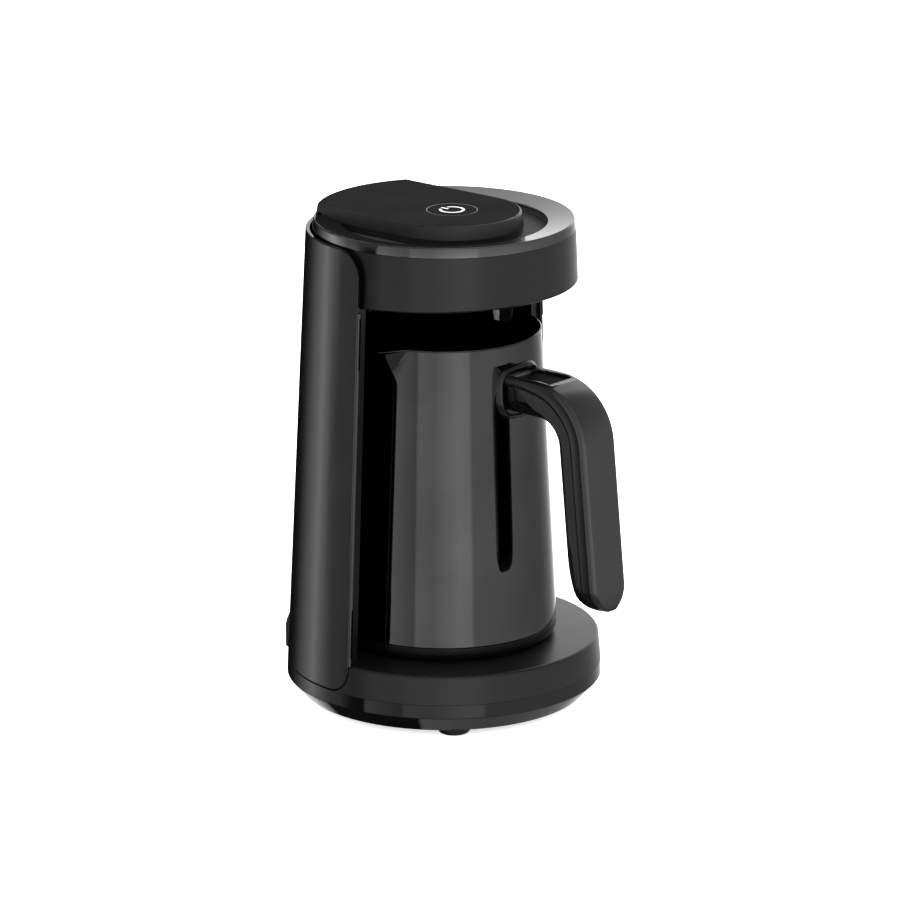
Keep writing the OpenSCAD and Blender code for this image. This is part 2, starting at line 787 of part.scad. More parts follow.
// Power symbol: an open ring and a bar in its gap, the bar towards the back
module symbol_plan() {
    r = symbol_d / 2;
    half = symbol_line / 2;
    open_half = 2.3 + half;
    difference() {
        circle(r);
        circle(r - symbol_line);
        translate([-open_half, 0]) square([2 * open_half, r + 1]);
    }
    for (x = [-1, 1])
        translate([x * (open_half + 0.02), sqrt(pow(r - half, 2) - pow(open_half, 2))]) circle(half);
    translate([-half, r * 0.36]) square([symbol_line, r * 0.64 + 0.4]);
}

module power_symbol() color([0.95, 0.95, 0.95]) at_axis()
    translate([0, -pod_front, z_pod - symbol_t]) linear_extrude(symbol_t) symbol_plan();

// Plunger of the switch: it moves with the button, inside the switch's case
module switch_plunger() color([0.85, 0.85, 0.8]) at_axis()
    translate([0, -pod_front, stem_bottom - plunger_h - 1.2]) cylinder(h = plunger_h + 1.2, r = plunger_r);

// Case of the switch, with the plunger's bore
module switch_case() color([0.2, 0.2, 0.22]) at_axis() translate([0, -pod_front, board_top]) difference() {
    translate([-case_w / 2, -case_w / 2, 0]) cube([case_w, case_w, case_h]);
    translate([0, 0, case_h - 1.2 - button_travel - 0.2]) cylinder(h = far, r = plunger_r + guide_gap);
}

// Lamps under the light ring's legs
module status_leds() color([0.95, 0.95, 0.85]) at_axis() translate([0, -pod_front, board_top])
    for (side = [-1, 1]) translate([side * (light_outer_r - leg_w / 2) - 1.4, -1, 0]) cube([2.8, 2, 1]);

buzzer_y = 12;
buzzer_r = 6;

// Buzzer below the pod
module buzzer() color([0.03, 0.03, 0.03]) at_axis() translate([0, buzzer_y, board_top]) difference() {
    cylinder(h = 4.6, r = buzzer_r);
    translate([0, 0, 3.6]) cylinder(h = 2, r = 1);
}

control_w = 48;

module board_screw_places() for (x = [-1, 1], y = [-1, 1])
    translate([x * (control_w / 2 - 4), -pod_front + 4 + y * (control_w / 2 - 4), 0]) children();

// Control board under the recess floor
module control_board() color([0.1, 0.35, 0.15]) at_axis() difference() {
    translate([-control_w / 2, -pod_front + 4 - control_w / 2, board_top - board_t])
        cube([control_w, control_w, board_t]);
    board_screw_places() translate([0, 0, board_top - board_t - 1])
        cylinder(h = board_t + 2, r = screw_r + 0.1);
}

// Screws that hold the board to the floor's posts
module board_screws() color([0.55, 0.55, 0.57]) at_axis() board_screw_places()
    translate([0, 0, board_top - board_t]) screw(board_t + 2.4);

// ---------------------------------------------------------------- foam sensor

sensor_r = sensor_d / 2;
sensor_y = pot_rim_d / 2 - sensor_inset;
collar_h = 14;
sensor_tip_z = z_head - sensor_drop;
window_r = 2.4;

// Housing of the foam sensor: a tapered nose below the head, with a flange inside it
module sensor_housing() color([0.05, 0.05, 0.05]) at_axis() translate([0, -sensor_y, 0]) difference() {
    rotate_extrude() polygon([
        [0, sensor_tip_z], [sensor_r - 1.8, sensor_tip_z], [sensor_r - 1.1, sensor_tip_z + 0.8],
        [sensor_r - 0.7, sensor_tip_z + 4], [sensor_r - 0.1, z_head - 1], [sensor_r, z_head],
        [sensor_r, head_low + collar_h], [sensor_r + 2, head_low + collar_h],
        [sensor_r + 2, head_low + collar_h + 1.5], [0, head_low + collar_h + 1.5]
    ]);
    translate([0, 0, sensor_tip_z - tiny]) cylinder(h = 3, r = window_r);
}

// Clear window in the sensor's nose
module sensor_window() color([0.7, 0.75, 0.8]) at_axis() translate([0, -sensor_y, sensor_tip_z + 0.4])
    cylinder(h = 2.6 - tiny, r = window_r);

// ---------------------------------------------------------------- pot

// The beak at a height: how far open it is, from its foot to the rim
function beak_share(z) = pow(1 - (pot_rim_z - z) / spout_h, 1.15);
function beak_bump(t) = pow(cos(90 * t), 1.35);

// One ring of the beak on a vessel of radius r at that height: its front, then its hidden back
function beak_ring(z, r, share, trim) = let (n = 8, half = spout_half_w * (0.35 + 0.65 * share) - trim)
    concat(
        [for (i = [n : -1 : -n]) let (x = half * i / n)
            [x, sqrt(r * r - x * x) + (spout_reach + beak_root) * share * beak_bump(abs(i) / n)
                - beak_root, z]],
        [[-half + 1, r - 14, z], [half - 1, r - 14, z]]
    );

beak_root = 0.7;

// The beak as a solid, set in by the wall for the inside; it runs on above the rim by over
module beak(inset, over) {
    steps = 8;
    z0 = pot_rim_z - spout_h + inset;
    rings = [for (j = [0 : steps]) let (z = z0 + (pot_rim_z - z0) * j / steps)
        beak_ring(z, pot_r(z) - inset, beak_share(z), inset / 2)];
    top = beak_ring(pot_rim_z + over, pot_r(pot_rim_z) - inset, 1, inset / 2);
    rotate(180 - spout_turn) loft(over > 0 ? concat(rings, [top]) : rings);
}

// Wedge that lets the lip fall towards the tip
module lip_cut() rotate(-spout_turn) translate([0, -pot_r(pot_rim_z) + 2, pot_rim_z])
    rotate([asin(spout_dip / (spout_reach + 2)), 0, 0]) translate([-far / 2, -far, 0]) cube([far, far, 10]);

// Pot body: a tapered metal vessel with a pouring beak
module pot_body() color([0.2, 0.2, 0.21]) at_axis() difference() {
    union() {
        cone(pot_r(pot_z), pot_r(pot_rim_z), pot_z, pot_rim_z);
        beak(0, 0);
    }
    rotate_extrude() polygon([
        [0, pot_floor_z + pot_wall], [pot_r(pot_floor_z) - pot_wall - 3, pot_floor_z + pot_wall],
        [pot_r(pot_floor_z) - pot_wall, pot_floor_z + pot_wall + 3], [pot_r(pot_rim_z) - pot_wall, pot_rim_z],
        [pot_r(pot_rim_z) - pot_wall, pot_rim_z + 1], [0, pot_rim_z + 1]
    ]);
    cone(pot_r(pot_z) - pot_wall, pot_r(pot_floor_z) - pot_wall, pot_z - tiny, pot_floor_z);
    beak(pot_wall, 1);
    lip_cut();
}

// Plastic base of the pot: band, undercut and sole
module pot_base() color([0.04, 0.04, 0.04]) at_axis() difference() {
    rotate_extrude() difference() {
        union() {
            polygon([
                [0, z_top + pot_sole], [pot_base_r - pot_undercut - 6, z_top + pot_sole],
                [pot_base_r - pot_undercut - 5, z_top], [pot_base_r - pot_undercut, z_top],
                [pot_base_r - pot_undercut, z_top + pot_undercut], [pot_base_r, z_top + pot_undercut],
                [pot_base_r, pot_z], [pot_r(pot_z) - pot_wall - 0.1, pot_z],
                [pot_r(pot_z) - pot_wall - 0.3, pot_z + 3], [pot_r(pot_z) - pot_wall - 2, pot_z + 3],
                [pot_r(pot_z) - pot_wall - 2, z_top + pot_sole + pot_base_t],
                [0, z_top + pot_sole + pot_base_t]
            ]);
            translate([pot_base_r - pot_undercut, z_top + pot_undercut]) circle(pot_undercut);
        }
        translate([0, z_top + pot_sole + pot_base_t]) square([pot_r(pot_z) - pot_wall - 2, far]);
    }
    translate([0, 0, z_top - 1]) cylinder(h = far, r = connector_r + 0.1);
    pot_screw_places() {
        translate([0, 0, z_top - tiny]) cylinder(h = pot_sole + 0.8 + tiny, r = screw_head_r + 0.2);
        translate([0, 0, z_top - tiny]) cylinder(h = far, r = screw_r + 0.1);
    }
}

module pot_screw_places() on_circle(pot_screw_ring, 3, pot_screw_turn) children();

// Flat screws through the sole into the heater plate's studs
module pot_base_screws() color([0.6, 0.6, 0.62]) at_axis() pot_screw_places()
    translate([0, 0, z_top + pot_sole + 0.8]) screw(plate_z - z_top - pot_sole, 0.8);

// Aluminium plate under the pot's floor, with studs for the sole's screws
module heater_plate() color([0.75, 0.75, 0.77]) at_axis() difference() {
    union() {
        translate([0, 0, plate_z]) cylinder(h = plate_t, r = pot_r(pot_z) - pot_wall - 5);
        pot_screw_places() translate([0, 0, z_top + pot_sole + pot_base_t])
            cylinder(h = plate_z - z_top - pot_sole - pot_base_t + 1, r = boss_r);
    }
    pot_screw_places() translate([0, 0, z_top + pot_sole])
        cylinder(h = plate_z - z_top - pot_sole + 1.5, r = screw_r);
}

element_r = 2.8;
element_ring = 32;
sensor_ring = 23;
fuse_r = 1.8;

// Sheathed element: an open ring of round rod
module heating_element() color([0.5, 0.48, 0.46]) at_axis() translate([0, 0, plate_z - element_r])
    rotate(110) rotate_extrude(angle = 320) translate([element_ring, 0]) circle(element_r);

// Disc thermostat and thermal fuse on the heater plate
module thermostat() color([0.7, 0.65, 0.6]) at_axis() rotate(200)
    translate([sensor_ring, 0, plate_z - 4.6]) cylinder(h = 4.6, r = 5.6);
module thermal_fuse() color([0.85, 0.82, 0.75]) at_axis() rotate(330)
    translate([sensor_ring - 0.6, 0, plate_z - fuse_r]) rotate([90, 0, 0])
        translate([0, 0, -6]) cylinder(h = 12, r = fuse_r);

// Female half of the power connector, in the middle of the pot's sole
module pot_connector() color([0.12, 0.12, 0.12]) at_axis() difference() {
    union() {
        translate([0, 0, z_top + pot_sole]) cylinder(h = connector_top - z_top - pot_sole, r = connector_r);
        translate([0, 0, z_top + pot_sole + pot_base_t]) cylinder(h = 1.4, r = connector_r + 2);
    }
    translate([0, 0, z_top]) cylinder(h = spigot_h + 0.8, r = socket_r);
}

blade_gap = 0.4;

// Brass tube and blades that reach into the spigot
module connector_contacts() color([0.8, 0.62, 0.3]) at_axis() {
    z0 = z_top + spigot_h - well_depth + 1.2;
    h = z_top + spigot_h + 0.8 - z0;
    translate([0, 0, z0]) {
        difference() {
            cylinder(h = h, r = pin_r + blade_gap + contact_t);
            translate([0, 0, -tiny]) cylinder(h = h - 0.2, r = pin_r + blade_gap);
        }
        intersection() {
            difference() {
                cylinder(h = h, r = groove_out - contact_t - blade_gap);
                translate([0, 0, -tiny]) cylinder(h = h + 1, r = groove_out - 2 * contact_t - blade_gap);
            }
            for (a = [0, 120, 240]) rotate(a) translate([0, -1.5, 0]) cube([far, 3, far]);
        }
    }
}

// ---------------------------------------------------------------- handle

// A point of the handle's centre line at length s: [forward, up, turn]
function on_path(s) =
    s < arm_run ? [boss_face + s, arm_z, 0]
    : s < arm_run + bend_len ? let (a = (s - arm_run) / bend_r * 180 / PI)
        [arm_reach + bend_r * sin(a), bend_z + bend_r * cos(a), a]
    : let (d = s - arm_run - bend_len)
        [arm_reach + bend_r * sin(bend_turn) + d * sin(grip_lean),
         bend_z + bend_r * cos(bend_turn) - d * cos(grip_lean), bend_turn];

// A section point u across and v outwards from the centre line at length s, in the frame
function handle_point(s, u, v) = let (p = on_path(s))
    [u, -(p[0] + v * sin(p[2])), p[1] + v * cos(p[2])];

// Shares that shape the handle's rounded tip
function to_tip(s) = path_len - s;
function rounded_end(d, run) = d >= run ? 1 : sqrt(max(0.0004, 1 - pow(1 - d / run, 2)));
function tip_width(s) = rounded_end(to_tip(s), handle_w / 2);
function tip_depth(s) = rounded_end(to_tip(s), tip_len);
function half_width(s) = handle_w / 2 * tip_width(s);
function inner_v(s) = handle_depth / 2 - handle_depth * tip_depth(s);

// Parting line between core and cover: it starts near the top of the arm and sinks through the bend
function ease(t) = let (c = max(0, min(1, t))) c * c * (3 - 2 * c);
function parting_v(s) = cover_v
    + (handle_depth / 2 - 2.4 - cover_v) * (1 - ease(s / (arm_run + 0.6 * bend_len)));

// Round-cornered section between v0 and v1: radius r0 at v0 and r1 at v1, k points a corner
function section(s, w, v0, v1, r0, r1, k = 5) = [
    for (c = [[1, 1, r1], [-1, 1, r1], [-1, -1, r0], [1, -1, r0]], i = [0 : k - 1])
        let (r = min(c[2], w - 0.05, (v1 - v0) / 2 - 0.02),
             start = c[0] > 0 ? (c[1] > 0 ? 0 : 270) : (c[1] > 0 ? 90 : 180),
             a = start + 90 * i / (k - 1))
        handle_point(s, c[0] * (w - r) + r * cos(a), (c[1] > 0 ? v1 - r : v0 + r) + r * sin(a))
];

// Lengths at which the handle is sectioned: closer together in the bend and at the tip
function stations(s0, s1) = let (
    bend = [for (i = [1 : 13]) arm_run + bend_len * i / 14],
    grip_top = arm_run + bend_len,
    grip = [for (i = [0 : 5]) grip_top + (path_len - tip_len - grip_top) * i / 6],
    tip = [for (i = [0 : 11]) path_len - tip_len * pow(1 - i / 12, 1.6)],
    near = [0, 1.5, 3, 5, 7, 9, arm_run]
) concat([s0], [for (s = concat(near, bend, grip, tip)) if (s > s0 + 0.3 && s < s1 - 0.3) s], [s1]);

core_end = path_len - tip_len * (1 - sqrt(1 - pow((handle_depth / 2 - cover_v + 0.6) / handle_depth, 2)));

// Inner half of the handle, flared into the pad, with beds for the side inlays and the screw
module handle_core() color([0.03, 0.03, 0.03]) at_axis() difference() {
    union() {
        loft([for (s = stations(0, core_end))
            section(s, half_width(s) - 0.7, inner_v(s), parting_v(s), 5.5, 0.9)]);
        window_block(slot_w / 2 - cover_gap / 2, window_v, 0.3);
    }
    inlay_solids(0.05);
    translate([0, -boss_face - tang_screw, arm_z - handle_depth]) {
        cylinder(h = handle_depth, r = screw_r + 0.1);
        cylinder(h = handle_depth - screw_seat, r = screw_head_r + 0.3);
    }
    bracket_tang(0.1);
}

window_depth = 1.3;
window_v = handle_depth / 2 - window_depth;

// Block in the arm's window: half its width and its upper face; above the window's floor it slopes outwards
module window_block(half, top, gap) translate([-half, -boss_face, arm_z]) rotate([90, 0, 90])
    linear_extrude(2 * half) polygon([
        [0, 0], [0, top], [gap - slot_len - top + window_v, top], [gap - slot_len, window_v],
        [gap - slot_len, 0]
    ]);

// Outer cover of the handle: it follows the core's curve and has a window on top of the arm
module handle_cover() color([0.11, 0.11, 0.115]) at_axis() difference() {
    loft([for (s = stations(0, path_len - 0.05))
        section(s, half_width(s), max(parting_v(s), inner_v(s) + 1), handle_depth / 2, 0.8, 2.6, 6)]);
    translate([0, 1, 0]) window_block(slot_w / 2, handle_depth / 2 + 3, -1);
}

inlay_bed = 1;
inlay_proud = 0.2;

// Upper and lower edge of the leaf-shaped inlay: pointed at the pad, wide on the arm, pointed at the tip
function leaf_top(s) = parting_v(s) - 0.35;
function leaf_low(s) = let (
    open = ease((s - leaf_start) / (arm_run - leaf_start)),
    shut = ease((s - leaf_end + leaf_run) / leaf_run)
) leaf_top(s) - 0.5 - (handle_depth * 0.27 + 2.4 * (1 - ease((s - arm_run) / bend_len))) * open * (1 - shut);
leaf_start = 1;
leaf_run = 26;
leaf_end = core_end - 9;

module inlay_solids(g) for (side = [-1, 1])
    loft([for (s = stations(leaf_start, leaf_end)) let (
        w = half_width(s) - 0.7, top = leaf_top(s) + g, low = leaf_low(s) - g,
        x0 = side * (w - inlay_bed), x1 = side * (w + inlay_proud + g),
        ring = [handle_point(s, x0, low), handle_point(s, x1, low + 0.15),
            handle_point(s, x1, top - 0.15), handle_point(s, x0, top)])
        side > 0 ? ring : [for (i = [3 : -1 : 0]) ring[i]]
    ]);

// Leaf-shaped inlays let into both sides of the core
module handle_inlays() color([0.08, 0.08, 0.085]) at_axis() inlay_solids(0);

// Pad on the pot: a curved plate with a collar that narrows to the arm
module handle_pad() color([0.05, 0.05, 0.05]) at_axis() difference() {
    union() {
        intersection() {
            pad_prism(pad_w, pad_h, pad_corner);
            cone(pot_r(pot_z) + pad_t, pot_r(pot_rim_z) + pad_t, pot_z, pot_rim_z);
        }
        loft([for (i = [0 : 6]) collar_ring(i / 6)]);
    }
    cone(pot_r(pot_z), pot_r(pot_rim_z), pot_z, pot_rim_z);
    bracket_plate(0.1);
    bracket_tang(0.1);
}

pad_corner = 11;

module pad_prism(w, h, r) translate([0, -boss_face, arm_z]) rotate([90, 0, 0]) mirror([0, 0, 1])
    linear_extrude(boss_face - pot_rim_d / 4) round_rect(w, h, r);

// One section of the collar, from inside the pad (0) to the arm (1)
function collar_ring(t) = let (
    back = pad_face - pad_t - 2,
    reach = t == 0 ? back : pad_face - 0.3 + (boss_face - pad_face + 0.3) * (t - 1 / 6) * 1.2,
    grow = collar_flare * (t == 0 ? 1 : pow(1 - (t - 1 / 6) * 1.2, 2)),
    w = handle_w / 2 + 0.25 + grow, h = handle_depth / 2 + 0.25 + grow, r = 4.5 + 1.7 * grow, k = 6
) [for (c = [[1, 1], [-1, 1], [-1, -1], [1, -1]], i = [0 : k - 1])
    let (start = c[0] > 0 ? (c[1] > 0 ? 0 : 270) : (c[1] > 0 ? 90 : 180), a = start + 90 * i / (k - 1))
    [c[0] * (w - r) + r * cos(a), -reach, arm_z + c[1] * (h - r) + r * sin(a)]
];

bracket_t = 1.4;
tang_len = 13;
tang_screw = 9;
screw_seat = 5.2;

// Plate on the pot's wall, grown by g for its pocket in the pad
module bracket_plate(g) intersection() {
    translate([0, 0, arm_z]) rotate([90, 0, 0])
        linear_extrude(far) square([18 + 2 * g, 16 + 2 * g], center = true);
    difference() {
        cone(pot_r(pot_z) + bracket_t + g, pot_r(pot_rim_z) + bracket_t + g, pot_z, pot_rim_z);
        cone(pot_r(pot_z) - 10 * g, pot_r(pot_rim_z) - 10 * g, pot_z, pot_rim_z);
    }
}

module bracket_tang(g) translate([-5 - g, -boss_face - tang_len - g, arm_z - 3.4 - g])
    cube([10 + 2 * g, boss_face + tang_len + g - pot_r(arm_z) - bracket_t / 2, 2.4 + 2 * g]);

// Steel bracket welded to the pot, with a tang into the handle
module handle_bracket() color([0.6, 0.6, 0.62]) at_axis() difference() {
    union() {
        bracket_plate(0);
        bracket_tang(0);
    }
    translate([0, -boss_face - tang_screw, arm_z - far / 2]) cylinder(h = far, r = screw_r);
}

// Screw from below the arm into the bracket's tang
module handle_screw() color([0.6, 0.6, 0.62]) at_axis()
    translate([0, -boss_face - tang_screw, arm_z - screw_seat]) screw(screw_seat - 0.6);

// ---------------------------------------------------------------- assembly

bottom_pan();
rubber_feet();
base_screws();
platform();
power_spigot();
spigot_contacts();
power_board();
relay();
transformer();
terminal_block();
cord_outlet();
cord_gland();
column_frame();
back_cover();
wire_loom();
head_shell();
head_underside();
trim_ring();
recess_floor();
floor_screws();
control_pod();
light_ring();
power_button();
power_symbol();
switch_plunger();
switch_case();
status_leds();
buzzer();
control_board();
board_screws();
sensor_housing();
sensor_window();
pot_body();
pot_base();
heater_plate();
heating_element();
thermostat();
thermal_fuse();
pot_connector();
connector_contacts();
pot_base_screws();
handle_pad();
handle_bracket();
handle_core();
handle_cover();
handle_inlays();
handle_screw();
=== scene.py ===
# %% [markdown]
# # An electric Turkish coffee maker
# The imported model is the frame: every solid has its true place and size, in metres, with +Z up and the
# handle towards -Y. This lesson dresses it. Visible solids get a clean skin with soft edges, the pot is spun
# anew with a smooth beak, a few small parts are added, and each finish is built from procedural nodes.

import json
import math

import bmesh
import bpy
from mathutils import Matrix, Vector


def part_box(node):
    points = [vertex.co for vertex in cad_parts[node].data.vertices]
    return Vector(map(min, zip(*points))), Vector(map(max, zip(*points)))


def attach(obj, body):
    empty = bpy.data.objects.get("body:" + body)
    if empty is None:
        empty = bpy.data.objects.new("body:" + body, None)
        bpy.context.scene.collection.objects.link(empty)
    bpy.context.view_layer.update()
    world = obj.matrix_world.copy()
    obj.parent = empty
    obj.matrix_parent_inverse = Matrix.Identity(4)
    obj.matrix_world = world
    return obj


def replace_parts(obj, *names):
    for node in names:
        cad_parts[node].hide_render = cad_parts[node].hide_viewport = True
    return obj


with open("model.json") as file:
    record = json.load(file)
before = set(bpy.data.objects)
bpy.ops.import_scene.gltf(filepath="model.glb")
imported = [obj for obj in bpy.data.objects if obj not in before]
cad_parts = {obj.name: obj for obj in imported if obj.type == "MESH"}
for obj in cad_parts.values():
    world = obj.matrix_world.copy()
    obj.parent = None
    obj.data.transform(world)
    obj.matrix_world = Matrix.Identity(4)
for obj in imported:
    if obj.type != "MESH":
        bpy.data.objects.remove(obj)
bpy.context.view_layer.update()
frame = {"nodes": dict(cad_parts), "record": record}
nodes = frame["nodes"]

# %% [markdown]
# Base, pot and head are round about one upright axis. Nearly everything is placed from it, so it is measured
# first, on the pot's base. Sizes are written in millimetres and turned into metres once, with MM.

# %% The machine's axis
MM = 0.001
pot_low, pot_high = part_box("pot_base")
AXIS_Y = (pot_low.y + pot_high.y) / 2
print("axis at y =", round(AXIS_Y / MM, 2), "mm")

# %% [markdown]
# ## The camera
# A long lens far away keeps the upright lines nearly parallel, as a catalogue picture does. The camera looks
# from the front left, 16 degrees above the table, so the top, the column's edge and the handle's side all
# show. It is made first, because everything else is judged through it.

# %% Camera
view_target = Vector((1.86, -2.18 + AXIS_Y / MM, 124.0)) * MM
view_back = Vector((-0.7292, -0.6228, 0.2834)).normalized()
view_distance = 2.680
camera_data = bpy.data.cameras.new("camera")
camera_data.sensor_width = 36
camera_data.lens = 219.26
camera_data.clip_end = 20
camera = bpy.data.objects.new("camera", camera_data)
camera.location = view_target + view_back * view_distance
camera.rotation_mode = "QUATERNION"
camera.rotation_quaternion = (-view_back).to_track_quat("-Z", "Y")
bpy.context.scene.collection.objects.link(camera)
bpy.context.scene.camera = camera
print("camera at", [round(v, 3) for v in camera.location])

# %% [markdown]
# ## A kit for finishes
# Moulded plastic and coated metal are never quite even. A finish here has four layers: a fine grain, which is
# what the tool's texture leaves; a slow waviness, which bends reflections a little; a slow change in
# roughness; and a slow change in tint. All read Object coordinates, so they stay put when a part moves.
# Even values, such as the coat, are set on the shader's own sockets.

# %% Layers of a finish
noise_span = (0.3, 0.7)  # where most of a noise's values lie


def noise_layer(tree, where, scale, detail=3.0):
    noise = tree.nodes.new("ShaderNodeTexNoise")
    noise.inputs["Scale"].default_value = scale
    noise.inputs["Detail"].default_value = detail
    tree.links.new(where, noise.inputs["Vector"])
    return noise.outputs["Fac"]


def mapped(tree, value, low, high):
    span = tree.nodes.new("ShaderNodeMapRange")
    span.inputs["From Min"].default_value = noise_span[0]
    span.inputs["From Max"].default_value = noise_span[1]
    span.inputs["To Min"].default_value = low
    span.inputs["To Max"].default_value = high
    tree.links.new(value, span.inputs["Value"])
    return span.outputs["Result"]


def bumped(tree, height, strength, distance, below=None):
    bump = tree.nodes.new("ShaderNodeBump")
    bump.inputs["Strength"].default_value = strength
    bump.inputs["Distance"].default_value = distance
    tree.links.new(height, bump.inputs["Height"])
    if below is not None:
        tree.links.new(below, bump.inputs["Normal"])
    return bump.outputs["Normal"]


print("layers: noise, range, bump")

# %% [markdown]
# The recipe of one finish. Grain and wave are each a noise scale and a bump strength. A stretch other than
# one draws the grain out, as polishing does.

# %% Recipe of a finish
finishes = {}
slow_scale, tint_scale = 35, 22
wave_height, grain_height = 2.0 * MM, 0.05 * MM


def grey(value):
    return value, value, value


def make_finish(slot, tint, rough, metal=0.0, coat=0.0, grain=(9000, 0.15), wave=(60, 0.02),
                stretch=(1, 1, 1), tint_change=0.12, rough_change=0.05, coat_rough=0.05, **fixed):
    material = bpy.data.materials.new(slot)
    material.use_nodes = True
    tree = material.node_tree
    shader = tree.nodes["Principled BSDF"]
    shader.inputs["Metallic"].default_value = metal
    shader.inputs["Coat Weight"].default_value = coat
    shader.inputs["Coat Roughness"].default_value = coat_rough
    for socket, value in fixed.items():
        shader.inputs[socket.replace("_", " ")].default_value = value
    place = tree.nodes.new("ShaderNodeTexCoord").outputs["Object"]
    mapping = tree.nodes.new("ShaderNodeMapping")
    mapping.inputs["Scale"].default_value = stretch
    tree.links.new(place, mapping.inputs["Vector"])
    where = mapping.outputs["Vector"]
    slow = noise_layer(tree, place, slow_scale)
    tree.links.new(mapped(tree, slow, rough - rough_change, rough + rough_change), shader.inputs["Roughness"])
    mix = tree.nodes.new("ShaderNodeMix")
    mix.data_type = "RGBA"
    mix.inputs["A"].default_value = (*[c * (1 - tint_change) for c in tint], 1)
    mix.inputs["B"].default_value = (*[min(1, c * (1 + tint_change)) for c in tint], 1)
    tree.links.new(mapped(tree, noise_layer(tree, place, tint_scale, 5), 0, 1), mix.inputs["Factor"])
    tree.links.new(mix.outputs["Result"], shader.inputs["Base Color"])
    wavy = bumped(tree, noise_layer(tree, place, wave[0], 1), wave[1], wave_height)
    fine = bumped(tree, noise_layer(tree, where, grain[0], 2), grain[1], grain_height, wavy)
    tree.links.new(fine, shader.inputs["Normal"])
    finishes[slot] = material


print("grain", grain_height / MM, "mm high, waves", wave_height / MM, "mm")

# %% [markdown]
# ## The plastics
# Four blacks carry this machine, and they differ in gloss more than in colour. The shells are satin, with an
# even fine grain. The back cover, the handle and the lower ring are polished. The control pod is matte with
# a coarser grain, which keeps fingerprints away. The rubber of the feet is cloudy, as moulded rubber is.

# %% Plastic finishes of the outside
make_finish("satin_shell", grey(0.002), 0.30, grain=(5200, 0.14), wave=(40, 0.02), rough_change=0.03)
make_finish("gloss_shell", grey(0.001), 0.045, grain=(2600, 0.01), wave=(45, 0.01), rough_change=0.015)
make_finish("matte_shell", grey(0.003), 0.36, grain=(2300, 0.8), wave=(50, 0.02), rough_change=0.04,
            Specular_IOR_Level=0.60)
# painted_shade_film reflects almost nothing: painted shade on the tops of the pod and the button
make_finish("painted_shade_film", grey(0.0085), 0.6, grain=(2300, 0.6), wave=(50, 0.02), rough_change=0.04,
            Specular_IOR_Level=0.01)
make_finish("floor_film", grey(0.030), 0.5, grain=(2300, 0.5), wave=(50, 0.02), rough_change=0.04,
            Specular_IOR_Level=0.10)
make_finish("bead_gloss", grey(0.001), 0.08, grain=(2600, 0.02), rough_change=0.02,
            Specular_IOR_Level=0.85)
# deep_black reflects almost nothing; the slot blocks and the window mat wear it as painted shade
make_finish("deep_black", grey(0.0008), 0.5, grain=(2300, 0.3), Specular_IOR_Level=0.02)
make_finish("pan_gloss", grey(0.001), 0.03, grain=(2600, 0.01), wave=(50, 0.004), rough_change=0.01)
make_finish("heat_plastic", grey(0.001), 0.28, grain=(3000, 0.15), rough_change=0.05,
            Specular_IOR_Level=0.30)
make_finish("handle_black", grey(0.001), 0.06, grain=(2600, 0.02), wave=(50, 0.01), rough_change=0.02)
make_finish("handle_grey", grey(0.002), 0.14, grain=(4200, 0.06), wave=(50, 0.01), rough_change=0.03,
            Specular_IOR_Level=0.95)
make_finish("foot_rubber", grey(0.004), 0.30, grain=(2600, 0.3), tint_change=0.25)
make_finish("symbol_white", grey(0.85), 0.4, grain=(4000, 0.1), tint_change=0.03)
print("outer plastics:", len(finishes))

# %% [markdown]
# The works inside have their usual colours, so that they can be told apart when a shell is taken off: a green
# circuit board, a blue relay, yellow coil tape, a pale ceramic.

# %% Plastic finishes of the works
make_finish("switch_black", (0.02, 0.02, 0.022), 0.5)
make_finish("switch_plunger", (0.7, 0.7, 0.66), 0.45)
make_finish("relay_case", (0.03, 0.07, 0.28), 0.4)
make_finish("coil_tape", (0.6, 0.45, 0.08), 0.5, grain=(900, 0.3))
make_finish("terminal_green", (0.05, 0.28, 0.14), 0.45)
make_finish("wire_cover", (0.4, 0.03, 0.03), 0.5, grain=(1500, 0.2))
make_finish("circuit_board", (0.02, 0.13, 0.05), 0.35, coat=0.3, grain=(1200, 0.4), wave=(300, 0.1))
make_finish("ceramic", (0.72, 0.68, 0.6), 0.6, grain=(1800, 0.5))
print("all plastics:", len(finishes))

# %% [markdown]
# ## The metals and the clear parts
# The trim ring and the pot are metal under a dark coating: mostly metallic, with a low roughness, so that
# lamps draw sharp bands on them. The pot's grain is stretched round the pot, as its polishing leaves it.
# Clear parts transmit light and take a little roughness from handling.

# %% Metal and clear finishes
make_finish("trim_metal", (0.13, 0.13, 0.133), 0.06, metal=1.0, grain=(3800, 0.03), wave=(50, 0.01),
            rough_change=0.02)
make_finish("pot_metal", (0.084, 0.084, 0.085), 0.045, metal=1.0, grain=(900, 0.008),
            stretch=(1, 1, 14), wave=(30, 0.004), rough_change=0.015)
make_finish("screw_steel", (0.5, 0.5, 0.52), 0.32, metal=1.0, grain=(2500, 0.3))
make_finish("contact_brass", (0.75, 0.52, 0.2), 0.25, metal=1.0, grain=(2500, 0.2))
make_finish("heater_aluminium", (0.7, 0.7, 0.72), 0.4, metal=1.0, grain=(1500, 0.4))
make_finish("element_steel", (0.33, 0.29, 0.25), 0.4, metal=1.0, grain=(1500, 0.4), tint_change=0.3)
make_finish("clear_plastic", (0.75, 0.78, 0.8), 0.12, grain=(3000, 0.05), tint_change=0.03,
            Transmission_Weight=0.25, IOR=1.5)
make_finish("smoky_clear", grey(0.09), 0.3, grain=(3000, 0.05), tint_change=0.05, IOR=1.5)
# clear_painted_glow glows a little though it is no lamp: a painted highlight for the sensor strip
make_finish("clear_painted_glow", grey(0.07), 0.3, grain=(3000, 0.05), tint_change=0.03,
            Emission_Color=(1, 1, 1, 1), Emission_Strength=0.05, IOR=1.5)
print("finishes:", len(finishes))

# %% [markdown]
# Each solid takes the finish of its slot in the record, so nothing is left plain, even inside.

